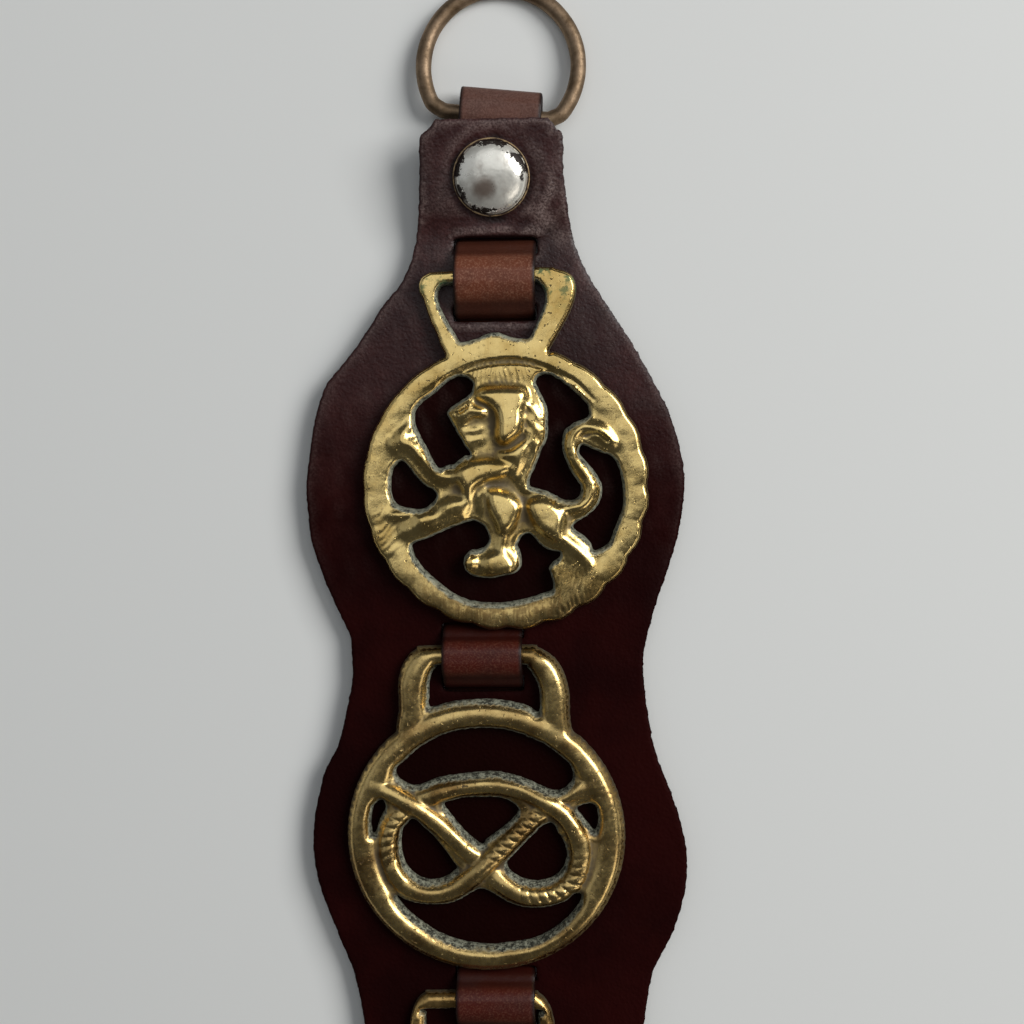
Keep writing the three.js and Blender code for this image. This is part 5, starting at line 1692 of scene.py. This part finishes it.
@dataclass(frozen=True)
class BridleLeatherFinish(Finish):
    """Dyed and waxed bridle leather, cut with a knife and never edged.

    The eye sees a deep oxblood with a fine grain, a painted sheen that grows towards the top, painted
    sheen on the crests of creases and beside the rivet, painted shade in hollows and under the
    brasses, and a torn dark edge.
    """

    CLOUDS: ClassVar[dict] = {
        "broad": (26.0, 5.0, 0.6),  # uneven dye
        "cloud": (11.0, 3.0, 0.5),  # uneven painted sheen
        "mottle": (3.5, 5.0, 0.65),  # handling, and patches of the painted sheen
        "fine": (0.45, 4.0, 0.6),  # pores
    }
    MARKS: ClassVar[tuple] = ("hollow", "cut", "under", "rubbed")
    GRAIN_MM: ClassVar[float] = 0.7  # drawn coarser than a hide's real grain, so that it shows

    deep: str = "#1a0505"
    warm: str = "#270908"
    # colour of the painted sheen that grows towards the top
    top_sheen: str = "#4e2c2a"
    # pale colour of the painted sheen on crests and beside the rivet
    sheen_tone: str = "#8b7872"
    # painted shade in hollows and under the brasses, and the base of the torn edge
    dark: str = "#130302"
    fibre: str = "#2b1a17"
    warm_over: tuple = (0.35, 0.7)
    top_sheen_up: tuple = (0.015, 0.115)  # metres up from the middle of the object, over which the painted sheen grows
    top_sheen_mottle: tuple = (0.25, 0.8, 0.25, 0.75)
    top_sheen_pores: tuple = (0.38, 0.66, 0.5, 1.0)
    top_sheen_cloud: tuple = (0.38, 0.62, 0.45, 1.2)
    painted_sheen_pores: tuple = (0.38, 0.62, 0.25, 1.0)
    # painted shade in the leather's hollows
    hollow_over: tuple = (0.02, 0.22, 0.0, 0.85)
    fibre_over: tuple = (0.4, 0.65)
    roughness: tuple = (0.3, 0.7, 0.42, 0.58)
    shine_over: tuple = (0.2, 1.0, 0.02, 0.35)

    def surface(self, lay: Callable, see: SimpleNamespace) -> object:
        """Grain is a fine cell pattern under cloudy dye, and a painted sheen grows towards the top.

        Args:
            lay: adds a node to the finish's tree.
            see: the finish's patterns and marks.

        Returns:
            The shader's output.
        """
        cells = lay(Kind.CELLS, see.at, per_mm(self.GRAIN_MM))
        dye = lay(Kind.LAYER, lay(Kind.EASE, see.broad, *self.warm_over), self.deep, self.warm)
        # painted sheen: a pale tone over the dye, growing towards the top in mottled patches
        up = lay(Kind.EASE, lay(Kind.AXES, see.at), *self.top_sheen_up)
        top_sheen_share = lay(Kind.TIMES, up, lay(Kind.EASE, see.mottle, *self.top_sheen_mottle))
        top_sheen_share = lay(Kind.TIMES, top_sheen_share, lay(Kind.EASE, see.fine, *self.top_sheen_pores))
        top_sheen_share = lay(Kind.TIMES, top_sheen_share, lay(Kind.EASE, see.cloud, *self.top_sheen_cloud))
        # painted shade: darker under the brasses
        colour = lay(Kind.LAYER, see.under, lay(Kind.LAYER, top_sheen_share, dye, self.top_sheen), self.dark)
        # painted sheen on the crests and in patches beside the rivet, towards the top
        rubbed = lay(Kind.TIMES, see.rubbed, up)
        rubbed = lay(Kind.TIMES, rubbed, lay(Kind.EASE, see.fine, *self.painted_sheen_pores))
        colour = lay(Kind.LAYER, rubbed, colour, self.sheen_tone)
        # painted shade: darker in the hollows
        colour = lay(Kind.LAYER, lay(Kind.EASE, see.hollow, *self.hollow_over), colour, self.dark)
        torn = lay(Kind.LAYER, lay(Kind.EASE, see.fine, *self.fibre_over), self.dark, self.fibre)
        colour = lay(Kind.LAYER, see.cut, colour, torn)
        rough = lay(Kind.TIMES_PLUS, up, -0.08, lay(Kind.EASE, see.mottle, *self.roughness))
        rough = lay(Kind.TIMES_PLUS, see.cut, 0.35, rough)
        normal = lay(Kind.RELIEF, cells, 0.12 * MM)
        normal = lay(Kind.RELIEF, see.fine, 0.09 * MM, normal)
        normal = lay(Kind.RELIEF, see.mottle, 0.06 * MM, normal)
        shine = lay(Kind.EASE, lay(Kind.TIMES_PLUS, see.under, -1.0, up), *self.shine_over)
        return lay(Kind.SURFACE, colour, rough, normal, 0.0, shine)


@dataclass(frozen=True)
class ChestnutStrapFinish(Finish):
    """Chestnut strap leather, dyed and with its edges bevelled.

    The eye sees a red-brown that is lighter at the top, painted light on the fold round the ring's
    bar, painted shade where the strap runs low towards the slits, pale flecks of grain where it is
    raised and handled, and darkened bevels.
    """

    CLOUDS: ClassVar[dict] = {
        "broad": (7.0, 5.0, 0.6),  # uneven dye
        "fine": (0.45, 4.0, 0.7),  # flecks of grain
        "bend": (1.6, 3.0, 0.5),  # fine creasing
    }
    MARKS: ClassVar[tuple] = ("height", "side")

    light: str = "#77432f"
    red: str = "#48160d"
    deep: str = "#240a06"
    fleck: str = "#a0735c"
    # colour of the painted light on the fold round the ring's bar
    fold_light: str = "#96756a"
    edge: str = "#190805"
    light_up: tuple = (0.045, 0.125)  # metres up from the middle of the object
    fold_light_up: tuple = (0.128, 0.138, 0.0, 0.32)
    deep_over: tuple = (0.35, 0.8, 0.0, 0.45)
    raised_over: tuple = (7.0, 10.0, 0.25, 1.0)  # millimetres over the ground
    # painted shade where the strap runs low, near the slits
    low_shade_over: tuple = (0.9, 0.3, 0.0, 0.7)
    flecks_over: tuple = (0.46, 0.68, 0.0, 0.7)
    bevel_over: tuple = (1.1, 0.15)  # millimetres in from the side
    roughness: tuple = (0.3, 0.7, 0.34, 0.5)

    def surface(self, lay: Callable, see: SimpleNamespace) -> object:
        """Lighter towards the top and redder below, flecks follow the grain, edges are dark where hands rub.

        Args:
            lay: adds a node to the finish's tree.
            see: the finish's patterns and marks.

        Returns:
            The shader's output.
        """
        place = lay(Kind.AXES, see.at)
        up = lay(Kind.EASE, place, *self.light_up)
        raised = lay(Kind.EASE, see.height, *self.raised_over)
        dye = lay(Kind.LAYER, up, self.red, self.light)
        dye = lay(Kind.LAYER, lay(Kind.EASE, see.broad, *self.deep_over), dye, self.deep)
        flecks = lay(Kind.EASE, see.fine, *self.flecks_over)
        flecks = lay(Kind.TIMES, flecks, lay(Kind.TIMES_PLUS, up, 0.75, 0.25))
        colour = lay(Kind.LAYER, lay(Kind.TIMES, flecks, raised), dye, self.fleck)
        # painted shade: the strap darkens where it runs low into the slits
        colour = lay(Kind.LAYER, lay(Kind.EASE, raised, *self.low_shade_over), colour, self.deep)
        # painted light: the fold at the top of the strap is lightened
        fold_light_share = lay(Kind.EASE, see.fine, 0.35, 0.6, 0.4)
        fold_light_share = lay(Kind.TIMES, lay(Kind.EASE, place, *self.fold_light_up), fold_light_share)
        colour = lay(Kind.LAYER, fold_light_share, colour, self.fold_light)
        colour = lay(Kind.LAYER, lay(Kind.EASE, see.side, *self.bevel_over), colour, self.edge)
        normal = lay(Kind.RELIEF, see.bend, 0.08 * MM, lay(Kind.RELIEF, see.fine, 0.07 * MM))
        return lay(Kind.SURFACE, colour, lay(Kind.EASE, see.broad, *self.roughness), normal, 0.0, 0.3)


@dataclass(frozen=True)
class DrawnWireFinish(Finish):
    """Steel wire, drawn, bent and brass-plated: dull brown oxide with a yellow shine where it is held."""

    CLOUDS: ClassVar[dict] = {
        "broad": (6.0, 5.0, 0.65),  # spread of the oxide
        "fine": (0.6, 5.0, 0.65),  # spots
    }

    plate: str = "#98826a"
    brown: str = "#5f4d39"
    spot: str = "#33271d"
    brown_over: tuple = (0.32, 0.7)
    spots_over: tuple = (0.58, 0.75, 0.0, 0.6)
    roughness: tuple = (0.3, 0.75, 0.46, 0.64)

    def surface(self, lay: Callable, see: SimpleNamespace) -> object:
        """Cloudy oxide over the plating, with fine spots of bare brown.

        Args:
            lay: adds a node to the finish's tree.
            see: the finish's patterns and marks.

        Returns:
            The shader's output.
        """
        colour = lay(Kind.LAYER, lay(Kind.EASE, see.broad, *self.brown_over), self.plate, self.brown)
        colour = lay(Kind.LAYER, lay(Kind.EASE, see.fine, *self.spots_over), colour, self.spot)
        rough = lay(Kind.EASE, see.fine, *self.roughness)
        return lay(Kind.SURFACE, colour, rough, lay(Kind.RELIEF, see.fine, 0.04 * MM), 1.0)


@dataclass(frozen=True)
class WornNickelFinish(Finish):
    """Pressed cap, nickel-plated and worn: bright dome with a painted reflection, black-brown ragged
    patches, brassy flange.
    """

    CLOUDS: ClassVar[dict] = {
        "cloud": (4.5, 5.0, 0.6),  # tarnish
        "ragged": (1.6, 8.0, 0.75, 0.4),  # torn edges of the plating
        "clumps": (6.0, 2.0, 0.5),  # where the plating fails first
        "dents": (2.4, 2.0, 0.5),  # hammering
    }
    MARKS: ClassVar[tuple] = ("reach", "flange")

    nickel: str = "#f2efe4"
    # tarnish, and the colour of the painted reflection
    tarnish_and_reflection: str = "#7d6658"
    bare: str = "#261c16"
    flange: str = "#3a2923"
    halo: str = "#b49a72"
    # middle of a painted reflection, a brown spot low on the dome, in metres
    reflection_at: tuple = (-0.0013, 0.1177, 0.0110)
    reflection_over: tuple = (0.0053, 0.0028, 0.0, 0.85)  # metres from the middle of the painted reflection
    tarnish_over: tuple = (0.5, 0.75, 0.0, 0.5)
    clumps_over: tuple = (0.46, 0.58, 0.0, 0.22)
    rim_over: tuple = (5.1, 7.7)  # millimetres from the cap's middle
    bare_over: tuple = (0.94, 0.97)
    halo_over: tuple = (8.75, 9.0)
    roughness: tuple = (0.3, 0.7, 0.26, 0.36)

    def surface(self, lay: Callable, see: SimpleNamespace) -> object:
        """Bare patches gather towards the rim, a painted reflection lies low on the dome, the flange is
        dull.

        Args:
            lay: adds a node to the finish's tree.
            see: the finish's patterns and marks.

        Returns:
            The shader's output.
        """
        bare = lay(Kind.TIMES_PLUS, lay(Kind.EASE, see.reach, *self.rim_over), 0.34, see.ragged)
        bare = lay(Kind.TIMES_PLUS, lay(Kind.EASE, see.clumps, *self.clumps_over), 1.0, bare)
        bare = lay(Kind.EASE, bare, *self.bare_over)
        # painted reflection: a brown spot low on the dome, merged with the cloudy tarnish
        reflection_and_tarnish = lay(Kind.TIMES_PLUS, see.cloud, 3 * MM, lay(Kind.REACH, see.at, self.reflection_at))
        reflection_and_tarnish = lay(Kind.MOST, lay(Kind.EASE, reflection_and_tarnish, *self.reflection_over),
                    lay(Kind.EASE, see.cloud, *self.tarnish_over))
        metal = lay(Kind.LAYER, reflection_and_tarnish, self.nickel, self.tarnish_and_reflection)
        rim = lay(Kind.EASE, lay(Kind.TIMES_PLUS, see.ragged, 1.2, see.reach), *self.halo_over)
        flange = lay(Kind.LAYER, rim, self.flange, self.halo)
        colour = lay(Kind.LAYER, see.flange, lay(Kind.LAYER, bare, metal, self.bare), flange)
        rough = lay(Kind.EASE, see.cloud, *self.roughness)
        rough = lay(Kind.TIMES_PLUS, lay(Kind.MOST, bare, see.flange), 0.30, rough)
        metallic = lay(Kind.EASE, bare, 0.0, 1.0, 0.65, 0.25)
        normal = lay(Kind.RELIEF, see.dents, 0.12 * MM, lay(Kind.RELIEF, bare, -0.06 * MM))
        return lay(Kind.SURFACE, colour, rough, normal, metallic)


@dataclass(frozen=True)
class PaperFinish(Finish):
    """Matt pale grey ground."""

    tone: str = "#e6e7e4"

    def surface(self, lay: Callable, see: SimpleNamespace) -> object:
        """One matt tone."""
        return lay(Kind.SURFACE, self.tone, 0.95)


# ------------------------------------------------------------------ studio
@dataclass(frozen=True)
class Panel:
    """A soft rectangular light that faces the object's middle; places and sizes in metres."""

    name: str
    at: tuple
    size: tuple
    watts: float
    tint: str

    def build(self) -> None:
        """The light, turned so that its face looks at the origin."""
        data = bpy.data.lights.new(self.name, "AREA")
        data.shape, data.size, data.size_y = "RECTANGLE", *self.size
        data.energy, data.color = self.watts, linear(self.tint)[:3]
        light = bpy.data.objects.new(self.name, data)
        light.location = self.at
        light.rotation_euler = Vector(self.at).to_track_quat("Z", "Y").to_euler()
        bpy.context.scene.collection.objects.link(light)


@dataclass
class Studio:
    """Pale ground, a key light from the right, a dim panel overhead, and the camera above the object."""

    lens_mm: float = 53.39
    camera_at: tuple = (20.53, 69.44, 344.55)
    camera_turn_deg: tuple = (-3.884, 2.777, -0.733)
    ground_mm: float = 12000.0
    sky: str = "#eef1f4"
    sky_strength: float = 0.06
    panels: tuple = (
        Panel("Key", (1.0, 0.5, 0.9), (0.8, 0.8), 16.2, "#ffffff"),
        Panel("Overhead", (-0.05, 0.44, 1.3), (1.1, 1.0), 2.9, "#f8fbff"),
        Panel("Fill", (-1.2, 0.3, 0.9), (1.2, 1.2), 1.5, "#f0f6ff"),
        Panel("Low", (0.9, -0.8, 0.8), (0.7, 0.5), 1.8, "#fff8f0"),
    )

    def camera(self) -> None:
        """Camera over the neck of the strap, looking down."""
        data = bpy.data.cameras.new("Studio_camera")
        data.lens, data.sensor_width = self.lens_mm, 36.0
        data.clip_start, data.clip_end = 0.01, 20.0
        camera = bpy.data.objects.new("Studio_camera", data)
        camera.location = [c * MM for c in self.camera_at]
        camera.rotation_euler = [math.radians(a) for a in self.camera_turn_deg]
        bpy.context.scene.collection.objects.link(camera)
        bpy.context.scene.camera = camera

    def ground(self) -> None:
        """Flat pale ground under the object."""
        half = self.ground_mm / 2
        square = np.array([[-half, -half, 0], [half, -half, 0], [half, half, 0], [-half, half, 0]])
        square[:, :2] -= MIDDLE
        floor = make_mesh("Studio_ground", square, [np.array([[0, 1, 2, 3]])], {})
        floor.data.materials.append(PaperFinish("matt_paper").build())

    def light(self) -> None:
        """The panels, and a dim even sky."""
        for panel in self.panels:
            panel.build()
        world = bpy.data.worlds.new("Studio_sky")
        bpy.context.scene.world = world
        world.use_nodes = True
        background = world.node_tree.nodes["Background"]
        background.inputs["Color"].default_value = linear(self.sky)
        background.inputs["Strength"].default_value = self.sky_strength

    def build(self) -> None:
        """Everything round the object."""
        bpy.context.scene.view_settings.view_transform = "Standard"
        self.camera()
        self.ground()
        self.light()


# ------------------------------------------------------------------ assembly
class Martingale:
    """All pieces of the object, made, dressed and set on the solids they stand for."""

    def __init__(self) -> None:
        """One finish for each material slot."""
        lion = (LION_AT[1] + MIDDLE[1]) * MM
        self.finishes = {
            Slot.BACKING: BridleLeatherFinish("oxblood_bridle_leather").build(),
            Slot.STRAP: ChestnutStrapFinish("chestnut_strap_leather").build(),
            Slot.LION: CastBrassFinish("polished_cast_brass", salt_above=lion + 37.5 * MM,
                                       shade_below=lion - 14 * MM).build(),
            Slot.KNOT: CastBrassFinish("brown_cast_brass", bright="#e0c280", warm="#987746", gloss=0.22,
                                       chalk_from=0.43).build(),
            Slot.WHEEL: CastBrassFinish("dull_cast_brass", bright="#d8b371", warm="#91703f", gloss=0.25,
                                        chalk_from=0.46).build(),
            Slot.RING: DrawnWireFinish("brown_plated_wire").build(),
            Slot.CAP: WornNickelFinish("worn_nickel_plate").build(),
        }

    def build(self) -> None:
        """Leather first, then metal, then the castings."""
        caps = (CapRivet("cap_rivet", CAP_AT, math.atan(RISE_SLOPE), 0.05), CapRivet("tail_rivet", TAIL_AT))
        brasses = (lion_brass(), knot_brass(), wheel_brass())
        for piece in (Backing(), KeeperStrap(), DRing(), *caps, *brasses):
            piece.dress(self.finishes)


def main() -> None:
    """Builds the studio and the object."""
    logging.basicConfig(level=logging.INFO, format="%(name)s %(message)s")
    Studio().build()
    Martingale().build()


if __name__ == "__main__":
    main()
